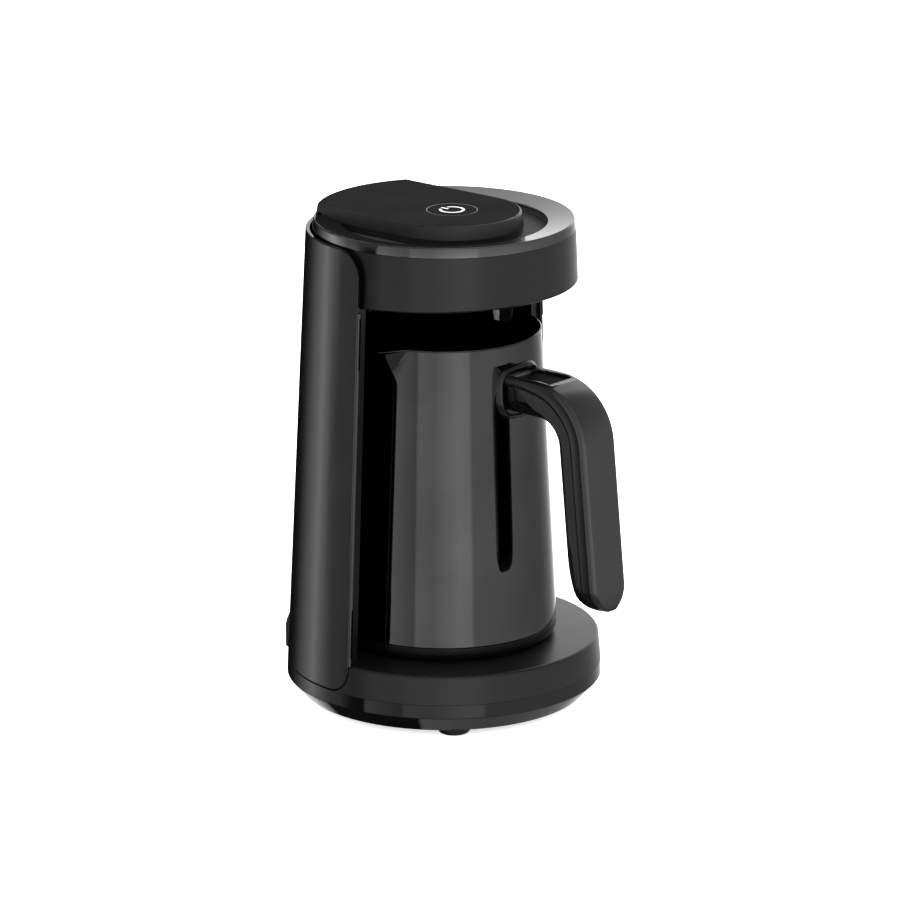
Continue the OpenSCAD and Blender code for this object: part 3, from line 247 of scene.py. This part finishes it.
# %% Dress every solid
slot_of = {part["node"]: part["material_slot"] for part in frame["record"]["subparts"]}
body_of = {n: b for b, names in frame["record"]["behaviour"]["bodies"].items() for n in names}
for name, solid in nodes.items():
    solid.data.materials.clear()
    solid.data.materials.append(finishes[slot_of[name]])
print("dressed:", len(slot_of))

# %% [markdown]
# ## Skins with soft edges
# A solid arrives as loose triangles with knife-sharp edges. No moulding has those: every edge has a small
# radius, and it is the thin bright line along it that makes a black part readable. So each visible solid is
# copied, its points are merged, its flat faces are joined, and a bevel of a few tenths of a millimetre
# rounds each edge sharper than 30 degrees. The skin replaces the solid and rides on the same body.

# %% From a bmesh to a piece, and its soft edges


def make_piece(name, bm, slot, body, smooth_angle=30, finish=None):
    mesh = bpy.data.meshes.new(name)
    for face in bm.faces:
        face.smooth = True
    for edge in bm.edges:
        edge.smooth = len(edge.link_faces) == 2 and edge.calc_face_angle(math.pi) < math.radians(smooth_angle)
    bm.to_mesh(mesh)
    bm.free()
    piece = bpy.data.objects.new(name, mesh)
    bpy.context.scene.collection.objects.link(piece)
    mesh.materials.append(finishes[finish or slot])
    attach(piece, body)
    return piece


def soften(piece, width, segments=2, angle=30, clamp=False):
    # clamp shrinks the bevels of a piece until none overlaps, so one tiny edge would shrink them all
    bevel = piece.modifiers.new("soft_edges", "BEVEL")
    bevel.width = width
    bevel.segments = segments
    bevel.limit_method = "ANGLE"
    bevel.angle_limit = math.radians(angle)
    bevel.harden_normals = True
    bevel.use_clamp_overlap = clamp
    return piece


print("pieces can wear", len(finishes), "finishes")

# %% [markdown]
# A skin is a cleaned copy of its solid. Points closer than the join distance are merged, and faces within
# the flat angle of each other are joined, because a bevel needs whole faces and no doubled points.

# %% A skin from a solid
usual_join = 0.002 * MM


def merged_copy(node, flat=0.2, join=usual_join):
    bm = bmesh.new()
    bm.from_mesh(nodes[node].data)
    bmesh.ops.remove_doubles(bm, verts=bm.verts, dist=join)
    bmesh.ops.dissolve_degenerate(bm, edges=bm.edges, dist=1e-6)
    bmesh.ops.dissolve_limit(bm, angle_limit=math.radians(flat), verts=bm.verts, edges=bm.edges)
    return bm


def skin(node, width, segments=2, join=usual_join, clamp=False, **look):
    piece = make_piece(node + "_skin", merged_copy(node, join=join), slot_of[node], body_of[node], **look)
    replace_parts(piece, node)
    if width:
        soften(piece, width, segments, clamp=clamp)
    return piece


print("solids that can get a skin:", len(body_of))

# %% [markdown]
# Bevel widths are in millimetres. The back cover has the largest one, because its front edge is what a hand
# meets. Some solids have very short edges between two curves, and their points are merged from further off.
# Only the platform's bevel is clamped, because its bevels would overlap and leave a jagged line.

# %% Skins of the stand
edge_widths = {
    "bottom_pan": 0.25, "base_screws": 0.1, "platform": 0.3, "power_spigot": 0.25, "cord_gland": 0.3,
    "column_frame": 0.2, "back_cover": 0.5, "head_shell": 0.22, "head_underside": 0.3, "trim_ring": 0.18,
    "recess_floor": 0.15, "control_pod": 0.4, "light_ring": 0.1, "sensor_housing": 0.3,
    "sensor_window": 0.15,
}
own_finish = {"recess_floor": "floor_film", "light_ring": "smoky_clear", "sensor_housing": "deep_black"}
own_join = {"control_pod": 0.3 * MM, "platform": 0.12 * MM, "head_shell": 0.01 * MM}
skins = {}
for name, width in edge_widths.items():
    piece = skins[name] = skin(name, width * MM, segments=3, join=own_join.get(name, usual_join),
                               clamp=name == "platform", finish=own_finish.get(name))
    print(name, "faces", len(piece.data.polygons))

# %% [markdown]
# The button and the pot's base are treated alike. The symbol and the handle's three parts get no bevel: their
# edges are fine already, and it would blunt the points of the inlays.

# %% Skins of the button, the pot's base and the handle
handle_parts = ("handle_core", "handle_cover", "handle_inlays")
for name, width in {"power_button": 0.15, "power_symbol": 0.0, "pot_base": 0.4,
                    **dict.fromkeys(handle_parts, 0.0)}.items():
    piece = skins[name] = skin(name, width * MM)
    print(name, "faces", len(piece.data.polygons))

# %% [markdown]
# Some skins are drawn a little fuller than the solids. The cover swells towards its foot, where it meets the
# ring, by less than a millimetre. Scaling would make its top grow too, so its points are moved away from the
# axis by a share that grows downwards.

# %% Swell of the cover
back_low, back_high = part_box("back_cover")
swell = 0.8 * MM


def down_at(z):
    return (back_high.z - z) / (back_high.z - back_low.z)


def swell_at(z):
    return swell * max(0.0, down_at(z)) ** 1.5


for vert in skins["back_cover"].data.vertices:
    away = Vector((vert.co.x, vert.co.y - AXIS_Y, 0))
    vert.co += away.normalized() * swell_at(vert.co.z)
print("cover swells by", swell / MM, "mm at its foot")

# %% [markdown]
# The hand judges the pot by its handle, so the section is full and round. Its three skins are widened, and
# their points move outwards along the normals of the side view. The inlays are a touch wider than the core,
# so that they lie proud of it. The arm runs back into the flange on the pot, and the grip ends in a slightly
# longer tongue. Faces are cut into triangles first, because moved points no longer lie in one plane.

# %% Fuller handle
wider = {"handle_core": 1.07, "handle_cover": 1.07, "handle_inlays": 1.082}
fuller = 1.5 * MM
root_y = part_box("handle_pad")[0].y
root_reach, root_back = 0.02 * MM, 4.9 * MM
end_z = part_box("handle_cover")[0].z
end_h = 8.5 * MM
tongue_stretch = 0.9


def tongue(height):
    return math.sqrt(max(0.004, 1 - max(0.0, 1 - height / end_h) ** 2))


for name in handle_parts:
    mesh = skins[name].data
    bm = bmesh.new()
    bm.from_mesh(mesh)
    bmesh.ops.triangulate(bm, faces=bm.faces)
    for vert, away in [(v, v.normal.copy()) for v in bm.verts]:
        up = max(0.0, vert.co.z - end_z)
        at_root = abs(vert.co.y - root_y) < root_reach
        vert.co.x *= wider[name] * tongue(up * tongue_stretch) / tongue(up)
        fade = min(1.0, up / end_h)
        vert.co += Vector((0, away.y, away.z * fade)) * fuller
        if at_root:
            vert.co.y += root_back
    bm.to_mesh(mesh)
    bm.free()
print("handle skins: root at y =", round((root_y + root_back) / MM, 2))

# %% [markdown]
# The tops of the pod and the button carry a film of painted shade: a copy of their finish that reflects
# almost nothing, so the tops render darker than the sides. It is the pod's own top face, lifted by the film's
# thickness.

# %% Film of painted shade on the tops of pod and button
film_thickness = 0.04 * MM
facing_up, level_gap = 0.99, 0.01 * MM


def top_shade_film(node, name):
    bm = merged_copy(node)
    top = max(vert.co.z for vert in bm.verts)
    lower = [f for f in bm.faces if f.normal.z < facing_up or f.calc_center_median().z < top - level_gap]
    bmesh.ops.delete(bm, geom=lower, context="FACES")
    bmesh.ops.translate(bm, verts=bm.verts, vec=(0, 0, film_thickness))
    return make_piece(name, bm, "matte_shell", body_of[node], finish="painted_shade_film")


for node in ("control_pod", "power_button"):
    film = top_shade_film(node, node + "_film")
    print(film.name, "faces", len(film.data.polygons))

# %% [markdown]
# ## The vessel
# A vessel like this is deep drawn from a steel disc, then its rim is rolled outwards, so that it is stiff and
# doesn't cut, and the beak is pressed over a tool. So the wall is spun from one profile: up the outside, over
# the rolled rim and down the inside. Then the points near the beak are moved outwards. The beak widens and
# reaches out towards the rim, and its last two millimetres flare into a flat lip, which breaks the drip.

# %% Vessel profile


def radius_at(node, z, reach=0.6 * MM):
    found = [abs(v.co.y - AXIS_Y) for v in nodes[node].data.vertices if abs(v.co.z - z) < reach]
    return max(found)


vessel_low, vessel_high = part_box("pot_body")
rim_z = vessel_high.z
foot_r = radius_at("pot_body", vessel_low.z)
rim_r = radius_at("pot_body", rim_z)
wall = 1.0 * MM
floor_z = vessel_low.z + 6.1 * MM
floor_r = 30 * MM
corner = 4 * MM


def outer_r(z):
    return foot_r + (rim_r - foot_r) * (z - vessel_low.z) / (rim_z - vessel_low.z)


beak_h = 20.5 * MM
roll_h = 1.3 * MM
heights_up = [vessel_low.z + up * MM for up in (0.3, 0.6, 1.2, 3.0)]
heights_up += [vessel_low.z + (rim_z - beak_h - vessel_low.z) * i / 10 for i in range(1, 10)]
heights_up += [rim_z - beak_h + (beak_h - roll_h) * i / 34 for i in range(35)]
roll = [(0.03, -0.95), (0.07, -0.75), (0.11, -0.55), (0.10, -0.42), (-0.02, -0.22), (-0.20, -0.07),
        (-0.40, 0.0), (-0.64, 0.0), (-0.85, -0.12), (-0.97, -0.34), (-1.0, -0.70)]
profile = [(foot_r - 0.8 * MM, vessel_low.z), (foot_r - 0.2 * MM, vessel_low.z + 0.05 * MM)]
profile += [(outer_r(z), z) for z in heights_up]
profile += [(rim_r + a * MM, rim_z + b * MM) for a, b in roll]
profile += [(outer_r(z) - wall, z) for z in reversed(heights_up) if z > floor_z + corner]
profile += [(outer_r(floor_z) - wall - (1 - math.cos(a)) * corner, floor_z + (1 - math.sin(a)) * corner)
            for a in (0.3, 0.7, 1.1, 1.4)]
profile += [(floor_r, floor_z), (0.0, floor_z)]
print("vessel: foot radius", round(foot_r / MM, 2), "rim radius", round(rim_r / MM, 2))
print("points on its profile:", len(profile))

# %% [markdown]
# The beak is a push on each spun point, outwards and a little down. It is strongest at the rim in the middle
# of the beak, and fades out to both sides and downwards. It could be a shape of its own, joined to the wall,
# but then the join would show as a crease in the polish.

# %% Beak
beak_reach = 6.4 * MM
beak_curl = 1.7 * MM
beak_dip = 1.6 * MM
beak_half = 17.5 * MM
beak_foot_share = 0.72
curl_full, curl_fade = 0.6 * MM, 1.2 * MM


def beak_push(point):
    depth = rim_z - point.z
    if depth > beak_h:
        return 0.0, 0.0
    side = abs(math.atan2(point.y - AXIS_Y, -point.x)) * rim_r
    share = (1 - depth / beak_h) ** 2.0
    across = side / (beak_half * (beak_foot_share + (1 - beak_foot_share) * share))
    if across >= 1:
        return 0.0, 0.0
    bump = (1 - across * across) ** 2
    curl = min(1.0, max(0.0, 1 - (depth - curl_full) / curl_fade)) ** 1.5
    return (beak_reach * share + beak_curl * curl) * bump, -beak_dip * bump * share ** 3


def make_vessel():
    bm = bmesh.new()
    chain = [bm.verts.new((r, AXIS_Y, z)) for r, z in profile]
    edges = [bm.edges.new(pair) for pair in zip(chain, chain[1:])]
    bmesh.ops.spin(bm, geom=chain + edges, cent=(0, AXIS_Y, 0), axis=(0, 0, 1), angle=math.tau, steps=360,
                   use_merge=True)
    bmesh.ops.remove_doubles(bm, verts=bm.verts, dist=1e-6)
    for vert in bm.verts:
        push, drop = beak_push(vert.co)
        if push:
            away = Vector((vert.co.x, vert.co.y - AXIS_Y, 0)).normalized()
            vert.co += away * push + Vector((0, 0, drop))
    bmesh.ops.recalc_face_normals(bm, faces=bm.faces)
    return make_piece("pot_vessel", bm, "pot_metal", "pot", smooth_angle=60)


vessel = make_vessel()
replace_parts(vessel, "pot_body")
print("vessel faces:", len(vessel.data.polygons))

# %% [markdown]
# The handle meets the pot through a flange, which follows the wall. Its sloping rim catches the light as a
# bright line, and a groove inside the rim lets the arm stand free. One rounded outline is stepped inwards
# with insets, given as how far in and how far out of the wall, and then bent onto the wall.

# %% Flange of the handle
flange_z = sum(v.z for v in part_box("handle_pad")) / 2
flange_half_x, flange_half_z = 15.6 * MM, 13.3 * MM
flange_roundness = 0.62  # 1 would be an ellipse, 0 a rectangle
flange_sunk = 0.6 * MM
flange_steps = [(0.02, 0.8), (0.25, 0.5), (1.15, 1.05), (0.3, 0.2), (0.3, 0.0), (0.15, -0.2), (0.1, -1.2),
                (1.3, -0.1)]


def make_flange():
    bm = bmesh.new()
    bmesh.ops.create_circle(bm, cap_ends=True, segments=120, radius=1)
    for vert in bm.verts:
        across, up = vert.co.x, vert.co.y
        vert.co.x = math.copysign(abs(across) ** flange_roundness, across) * flange_half_x
        vert.co.y = math.copysign(abs(up) ** flange_roundness, up) * flange_half_z
    bmesh.ops.translate(bm, verts=bm.verts, vec=(0, 0, -flange_sunk))
    for inward, rise in flange_steps:
        face = max(bm.faces, key=lambda f: len(f.verts))
        bmesh.ops.inset_individual(bm, faces=[face], thickness=inward * MM, depth=rise * MM)
    for vert in bm.verts:
        across, up, out = vert.co
        z = flange_z + up
        wall_y = AXIS_Y - math.sqrt(outer_r(z) ** 2 - across ** 2)
        vert.co = (across, wall_y - out, z)
    bmesh.ops.recalc_face_normals(bm, faces=bm.faces)
    return make_piece("handle_flange", bm, "handle_black", "pot", smooth_angle=50)


flange = make_flange()
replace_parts(flange, "handle_pad")
print("flange faces:", len(flange.data.polygons))

# %% [markdown]
# ## Small parts that finish the machine
# The window on top of the arm is covered flush with a matte black mat: painted shade that stands in for the
# shaded recess under it.
# It is a thin block with softened edges. The same helper makes the slots further down.

# %% Window mat of painted shade


def box_mesh(low, high):
    bm = bmesh.new()
    low, high = Vector(low), Vector(high)
    place = Matrix.Translation((low + high) / 2) @ Matrix.Diagonal((*(high - low), 1))
    bmesh.ops.create_cube(bm, size=1, matrix=place)
    return bm


def make_block(name, low, high, slot, body, edge=0.1 * MM, finish=None):
    piece = make_piece(name, box_mesh(low, high), slot, body, finish=finish)
    if edge:
        soften(piece, edge)
    return piece


arm_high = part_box("handle_cover")[1]
mat_half = 7.4 * MM
mat_back, mat_front = arm_high.y - 0.4 * MM, arm_high.y - 18.6 * MM
mat_low, mat_high = arm_high.z - 0.3 * MM, arm_high.z + 0.02 * MM
make_block("window_shade_mat", (-mat_half, mat_front, mat_low), (mat_half, mat_back, mat_high), "matte_shell",
           "pot", 0.05 * MM, finish="deep_black")
print("window mat", round(2 * mat_half / MM, 1), "by", round((mat_back - mat_front) / MM, 1), "mm")

# %% [markdown]
# The cover's front edge is the line along which the next parts are set. It leans and swells with the cover,
# so its distance from the axis is measured on the solid, at the foot and at the top.

# %% Line of the cover's front edge
cover_verts = [v.co for v in nodes["back_cover"].data.vertices]
ring_h = 1 * MM


def widest(verts):
    return max(Vector((v.x, v.y - AXIS_Y)).length for v in verts)


cover_bottom_r = widest([v for v in cover_verts if v.z < back_low.z + ring_h])
cover_top_r = widest([v for v in cover_verts if v.z > back_high.z - ring_h])


def cover_edge(z):
    return cover_top_r + (cover_bottom_r - cover_top_r) * down_at(z) + swell_at(z)


def set_along_edge(piece, side, inward, forward, z0, z1):
    low_x, high_x = (side * (cover_edge(z) - inward) for z in (z0, z1))
    for vert in piece.data.vertices:
        vert.co.x += low_x + (high_x - low_x) * (vert.co.z - z0) / (z1 - z0)
        vert.co.y += back_low.y - forward


print("cover radius", round(cover_bottom_r / MM, 2), "to", round(cover_top_r / MM, 2))

# %% [markdown]
# The column's front edges carry a thin bead, which stiffens them and hides the joint to the cover. Beside it
# there are narrow slots, where the hooks of the cover are pushed free when the machine is opened. A real slot
# would be cut, and its inside would lie in shade. Here a black block just proud of the face is painted shade
# in its place: it looks the same and keeps the mesh clean.

# %% Beads and hook slots
bead_r = 1.1 * MM
bead_inward, bead_forward = 1.3 * MM, 0.2 * MM
slot_inward, slot_forward = 1.1 * MM, 1.2 * MM
slot_low, slot_high = (-0.45 * MM, -0.3 * MM), (0.45 * MM, 0.5 * MM)
slot_spans = ((37 * MM, 61 * MM), (179.5 * MM, 205 * MM))
z_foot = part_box("platform")[1].z
z_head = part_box("head_shell")[0].z + 1 * MM


def make_bead(name):
    bm = bmesh.new()
    bmesh.ops.create_cone(bm, cap_ends=True, segments=28, radius1=bead_r, radius2=bead_r,
                          depth=z_head - z_foot)
    bmesh.ops.translate(bm, verts=bm.verts, vec=(0, 0, (z_foot + z_head) / 2))
    return make_piece(name, bm, "gloss_shell", "stand", finish="bead_gloss")


for side, word in ((-1, "left"), (1, "right")):
    bead = make_bead("frame_bead_" + word)
    set_along_edge(bead, side, bead_inward, bead_forward, z_foot, z_head)
    for number, (z0, z1) in enumerate(slot_spans):
        # each slot is a black block of painted shade, where the shaded inside of a real slot would be
        hook_slot_shade = make_block("hook_slot_%s_%d" % (word, number), (*slot_low, z0), (*slot_high, z1),
                               "foot_rubber", "stand", 0.0, finish="deep_black")
        set_along_edge(hook_slot_shade, side, slot_inward, slot_forward, z0, z1)
print("beads", round((z_head - z_foot) / MM, 1), "mm long, slots", 2 * len(slot_spans))

# %% [markdown]
# The rubber feet are flared, so they can't be pulled out of their seats. Each is spun from a half profile of
# radius and height in millimetres, with a rounded edge where it meets the table.

# %% Feet
feet_ring = 61.5 * MM
foot_profile = [(0.0, 0.0), (6.3, 0.0), (6.9, 0.12), (7.4, 0.45), (7.8, 1.0), (8.1, 1.8), (8.4, 2.8),
                (8.5, 3.4), (8.5, 4.5), (0.0, 4.5)]


def make_feet():
    bm = bmesh.new()
    for turn in (45, 135, 225, 315):
        x = feet_ring * math.cos(math.radians(turn))
        y = AXIS_Y + feet_ring * math.sin(math.radians(turn))
        chain = [bm.verts.new((x + r * MM, y, z * MM)) for r, z in foot_profile]
        edges = [bm.edges.new(pair) for pair in zip(chain, chain[1:])]
        bmesh.ops.spin(bm, geom=chain + edges, cent=(x, y, 0), axis=(0, 0, 1), angle=math.tau, steps=72,
                       use_merge=True)
    bmesh.ops.remove_doubles(bm, verts=bm.verts, dist=1e-6)
    bmesh.ops.recalc_face_normals(bm, faces=bm.faces)
    return make_piece("flared_feet", bm, "foot_rubber", "stand", smooth_angle=40)


feet = make_feet()
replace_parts(feet, "rubber_feet")
print("feet faces:", len(feet.data.polygons))

# %% [markdown]
# The mains cord leaves through a hood, which blends into the cover, and a rubber gland in it keeps the cord
# from kinking. The hood is a box whose top is raised in steps. Each step says how far up, how much narrower,
# and how far back it may still reach. A wide bevel then rounds the steps into one slope.

# %% Cord hood
hood_low, hood_high = Vector((-28, 60, 11.8)) * MM, Vector((28, 93.4, 24)) * MM
hood_steps = ((3, 0.985, 92.8), (4, 0.96, 91.6), (5, 0.93, 90.2), (6, 0.88, 85))
hood_edge, hood_edge_steps, hood_edge_angle = 2.0 * MM, 5, 12
gland_out = 2.4 * MM


def make_hood():
    bm = box_mesh(hood_low, hood_high)
    for rise, narrow, back in hood_steps:
        top = [f for f in bm.faces if f.normal.z > 0.9]
        grown = bmesh.ops.extrude_face_region(bm, geom=top)
        bmesh.ops.delete(bm, geom=top, context="FACES")
        for item in grown["geom"]:
            if isinstance(item, bmesh.types.BMVert):
                item.co.z += rise * MM
                item.co.x *= narrow
                item.co.y = min(item.co.y, back * MM)
        bmesh.ops.recalc_face_normals(bm, faces=bm.faces)
    hood = make_piece("cord_hood", bm, "gloss_shell", "stand", finish="satin_shell")
    return soften(hood, hood_edge, hood_edge_steps, hood_edge_angle)


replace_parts(make_hood(), "cord_outlet")
gland_verts = skins["cord_gland"].data.vertices
for vert in gland_verts:
    vert.co.y += gland_out
print("gland", round((max(v.co.y for v in gland_verts) - hood_high.y) / MM, 2), "mm proud of the hood")

# %% [markdown]
# The foam sensor has a clear window on the side of the spout, where the foam rises first. It is a strip of
# the housing's own wall: the faces that look to the spout, moved out a little and given a thickness. Its
# finish glows a little though it is no lamp: a painted highlight that makes the strip bright.

# %% Sensor window on the spout's side
nose_low, nose_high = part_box("sensor_housing")
nose_y = (nose_low.y + nose_high.y) / 2
strip_facing = -0.93
strip_up = 1.2 * MM
strip_out, strip_thick = 0.2 * MM, 0.15 * MM


def make_sensor_strip():
    bm = merged_copy("sensor_housing", flat=0.01)
    far = [f for f in bm.faces if f.normal.x > strip_facing or abs(f.normal.z) > 0.5]
    bmesh.ops.delete(bm, geom=far, context="FACES")
    bmesh.ops.bisect_plane(bm, geom=bm.verts[:] + bm.edges[:] + bm.faces[:], plane_no=(0, 0, -1),
                           plane_co=(0, 0, nose_low.z + strip_up), clear_outer=True)
    for vert in bm.verts:
        vert.co += Vector((vert.co.x, vert.co.y - nose_y, 0)).normalized() * strip_out
    bmesh.ops.recalc_face_normals(bm, faces=bm.faces)
    bmesh.ops.solidify(bm, geom=bm.faces[:], thickness=strip_thick)
    return make_piece("sensor_strip", bm, "clear_plastic", "stand", finish="clear_painted_glow")


strip = make_sensor_strip()
print("sensor strip faces:", len(strip.data.polygons))

# %% [markdown]
# ## Table and light
# A plain pale table, and soft light from tall panels that stand in a ring round the object. Black gloss has
# almost no colour of its own: it shows what it mirrors. So the panels draw the upright bands on the column,
# the pot and the handle. The panels are painted into the world by compass direction, because that gives
# clean wide sources without noise. The table itself is lit evenly and stays out of the mirrored picture.

# %% Table
table_half = 6.0
table_glow = 0.65


def make_table():
    bm = bmesh.new()
    bmesh.ops.create_grid(bm, x_segments=8, y_segments=8, size=table_half)
    mesh = bpy.data.meshes.new("table_top")
    bm.to_mesh(mesh)
    bm.free()
    table = bpy.data.objects.new("table_top", mesh)
    bpy.context.scene.collection.objects.link(table)
    paint = bpy.data.materials.new("table_paint")
    paint.use_nodes = True
    tree = paint.node_tree
    shader = tree.nodes["Principled BSDF"]
    shader.inputs["Roughness"].default_value = 0.9
    shader.inputs["Emission Color"].default_value = (1, 1, 1, 1)
    shader.inputs["Emission Strength"].default_value = table_glow
    mix = tree.nodes.new("ShaderNodeMix")
    mix.data_type = "RGBA"
    mix.inputs["A"].default_value = (*grey(0.93), 1)
    mix.inputs["B"].default_value = (*grey(0.96), 1)
    where = tree.nodes.new("ShaderNodeTexCoord").outputs["Object"]
    tree.links.new(noise_layer(tree, where, 3), mix.inputs["Factor"])
    tree.links.new(mix.outputs["Result"], shader.inputs["Base Color"])
    mesh.materials.append(paint)
    table.visible_glossy = False
    return table


table = make_table()
print("table", round(max(v.co.x for v in table.data.vertices), 1), "m to each side")

# %% [markdown]
# Each list says how bright the room is by compass direction, in degrees to the right of the camera, and in
# between the brightness is blended. The low list is what faces that look down mirror, the middle one is seen
# in upright walls, and the high one in sloping tops. The edge list lights a narrow ring below the horizon.

# %% Panels
low_panels = [
    (-180, 0.62), (-161, 0.62), (-159, 0.02), (-60, 0.02), (-50, 0.30), (90, 0.38), (115, 0.32),
    (140, 0.36), (165, 0.55), (180, 0.62),
]
edge_panels = [(-180, 0.58), (-161, 0.58), (-159, 0.0), (160, 0.0), (180, 0.58)]
middle_panels = [
    (-180, 0.01), (-158, 0.012), (-150, 0.03), (-144, 0.076), (-136, 0.27), (-128, 0.68), (-120, 1.26),
    (-112, 2.16), (-100, 1.27), (-92, 0.69), (-82, 0.65), (-77, 0.30), (-70, 0.06), (-61, 0.05),
    (-59, 1.15), (-31, 0.63), (-29, 1.22), (-11, 1.08), (-4, 1.30), (16, 1.78), (28, 1.70), (31, 1.00),
    (64, 0.96), (92, 0.76), (110, 0.60), (124, 0.52), (140, 0.64), (148, 0.80), (158, 1.15), (166, 1.75),
    (171, 2.50), (176, 1.20),
]
high_panels = [
    (-180, 1.72), (-175, 1.70), (-173, 0.08), (-160, 0.05), (-152, 0.09), (-144, 0.15), (-136, 0.28),
    (-128, 0.52), (-120, 0.80), (-112, 1.22), (-108, 1.05), (-100, 0.72), (-92, 0.48), (-84, 0.42),
    (-76, 0.31), (-60, 0.27), (-58, 0.88), (-31, 0.62), (-29, 0.90), (-12, 0.88), (-4, 1.04), (8, 1.25),
    (28, 1.25), (31, 0.88), (60, 0.82), (88, 0.73), (120, 0.65), (132, 0.77), (140, 1.09), (149, 2.20),
    (160, 1.90), (180, 1.72),
]
brightest = 2.5
print("panels:", len(low_panels), len(edge_panels), len(middle_panels), len(high_panels))

# %% [markdown]
# A colour ramp turns an angle into a brightness. Its stops lie between 0 and 1, so the angle is scaled to
# that range first, and the light is divided by the brightest panel and multiplied back later.

# %% From an angle to a brightness


def ramp_of(tree, value, points, low, high, scale):
    ramp = tree.nodes.new("ShaderNodeValToRGB")
    stops = ramp.color_ramp.elements
    while len(stops) < len(points):
        stops.new(0.5)
    for stop, (angle, light) in zip(stops, points):
        stop.position = (angle - low) / (high - low)
        stop.color = (light / scale,) * 3 + (1,)
    span = tree.nodes.new("ShaderNodeMapRange")
    span.inputs["From Min"].default_value = math.radians(low)
    span.inputs["From Max"].default_value = math.radians(high)
    tree.links.new(value, span.inputs["Value"])
    tree.links.new(span.outputs["Result"], ramp.inputs["Fac"])
    return ramp.outputs["Color"]


def math_node(tree, kind, first, second=None):
    node = tree.nodes.new("ShaderNodeMath")
    node.operation = kind
    for socket, value in zip(node.inputs, (first, second)):
        if isinstance(value, (int, float)):
            socket.default_value = value
        elif value is not None:
            tree.links.new(value, socket)
    return node.outputs["Value"]


print("the longest ramp has", max(map(len, (middle_panels, high_panels))), "stops")

# %% [markdown]
# The shares say how much each ring of panels counts by the height of the direction, in degrees above the
# horizon. They overlap a little, so that no hard line is mirrored. Rays that don't mirror see an even white
# room instead, which lights the matte faces softly and keeps the background white.

# %% The room
low_share = [(-90, 1.0), (-25, 1.0), (-20, 0.0), (90, 0.0)]
middle_share = [(-90, 0.0), (-25, 0.0), (-20, 0.78), (-15, 0.93), (-12, 1.0), (-5, 1.0), (1, 0.0), (90, 0.0)]
edge_share = [(-90, 0.0), (-37, 0.0), (-30, 1.0), (-25, 1.0), (-20, 0.0), (90, 0.0)]
high_share = [(-90, 0.0), (-5, 0.0), (1, 1.0), (10, 0.95), (16, 0.85), (24, 0.76), (35, 0.68), (90, 0.5)]
room_glow = 2.4
world = bpy.data.worlds.new("panel_room")
bpy.context.scene.world = world
world.use_nodes = True
room = world.node_tree
room.nodes.clear()
turn = room.nodes.new("ShaderNodeMapping")
turn.inputs["Rotation"].default_value[2] = -math.atan2(view_back.y, view_back.x)
room.links.new(room.nodes.new("ShaderNodeTexCoord").outputs["Generated"], turn.inputs["Vector"])
split = room.nodes.new("ShaderNodeSeparateXYZ")
room.links.new(turn.outputs["Vector"], split.inputs["Vector"])
compass = math_node(room, "ARCTAN2", split.outputs["Y"], split.outputs["X"])
rise = math_node(room, "ARCSINE", split.outputs["Z"])
light = None
for lights, share in ((low_panels, low_share), (edge_panels, edge_share),
                      (middle_panels, middle_share), (high_panels, high_share)):
    part = math_node(room, "MULTIPLY", ramp_of(room, compass, lights, -180, 180, brightest),
                     ramp_of(room, rise, share, -90, 90, 1))
    light = part if light is None else math_node(room, "ADD", light, part)
light = math_node(room, "MULTIPLY", light, brightest)
mirrored = room.nodes.new("ShaderNodeBackground")
room.links.new(light, mirrored.inputs["Strength"])
seen = room.nodes.new("ShaderNodeBackground")
seen.inputs["Color"].default_value = (1, 1, 1, 1)
seen.inputs["Strength"].default_value = room_glow
ray = room.nodes.new("ShaderNodeLightPath")
choose = room.nodes.new("ShaderNodeMixShader")
room_out = room.nodes.new("ShaderNodeOutputWorld")
room.links.new(ray.outputs["Is Glossy Ray"], choose.inputs["Fac"])
room.links.new(seen.outputs["Background"], choose.inputs[1])
room.links.new(mirrored.outputs["Background"], choose.inputs[2])
room.links.new(choose.outputs["Shader"], room_out.inputs["Surface"])
bpy.context.scene.view_settings.view_transform = "Standard"
print("room nodes:", len(room.nodes), "brightest panel", brightest)
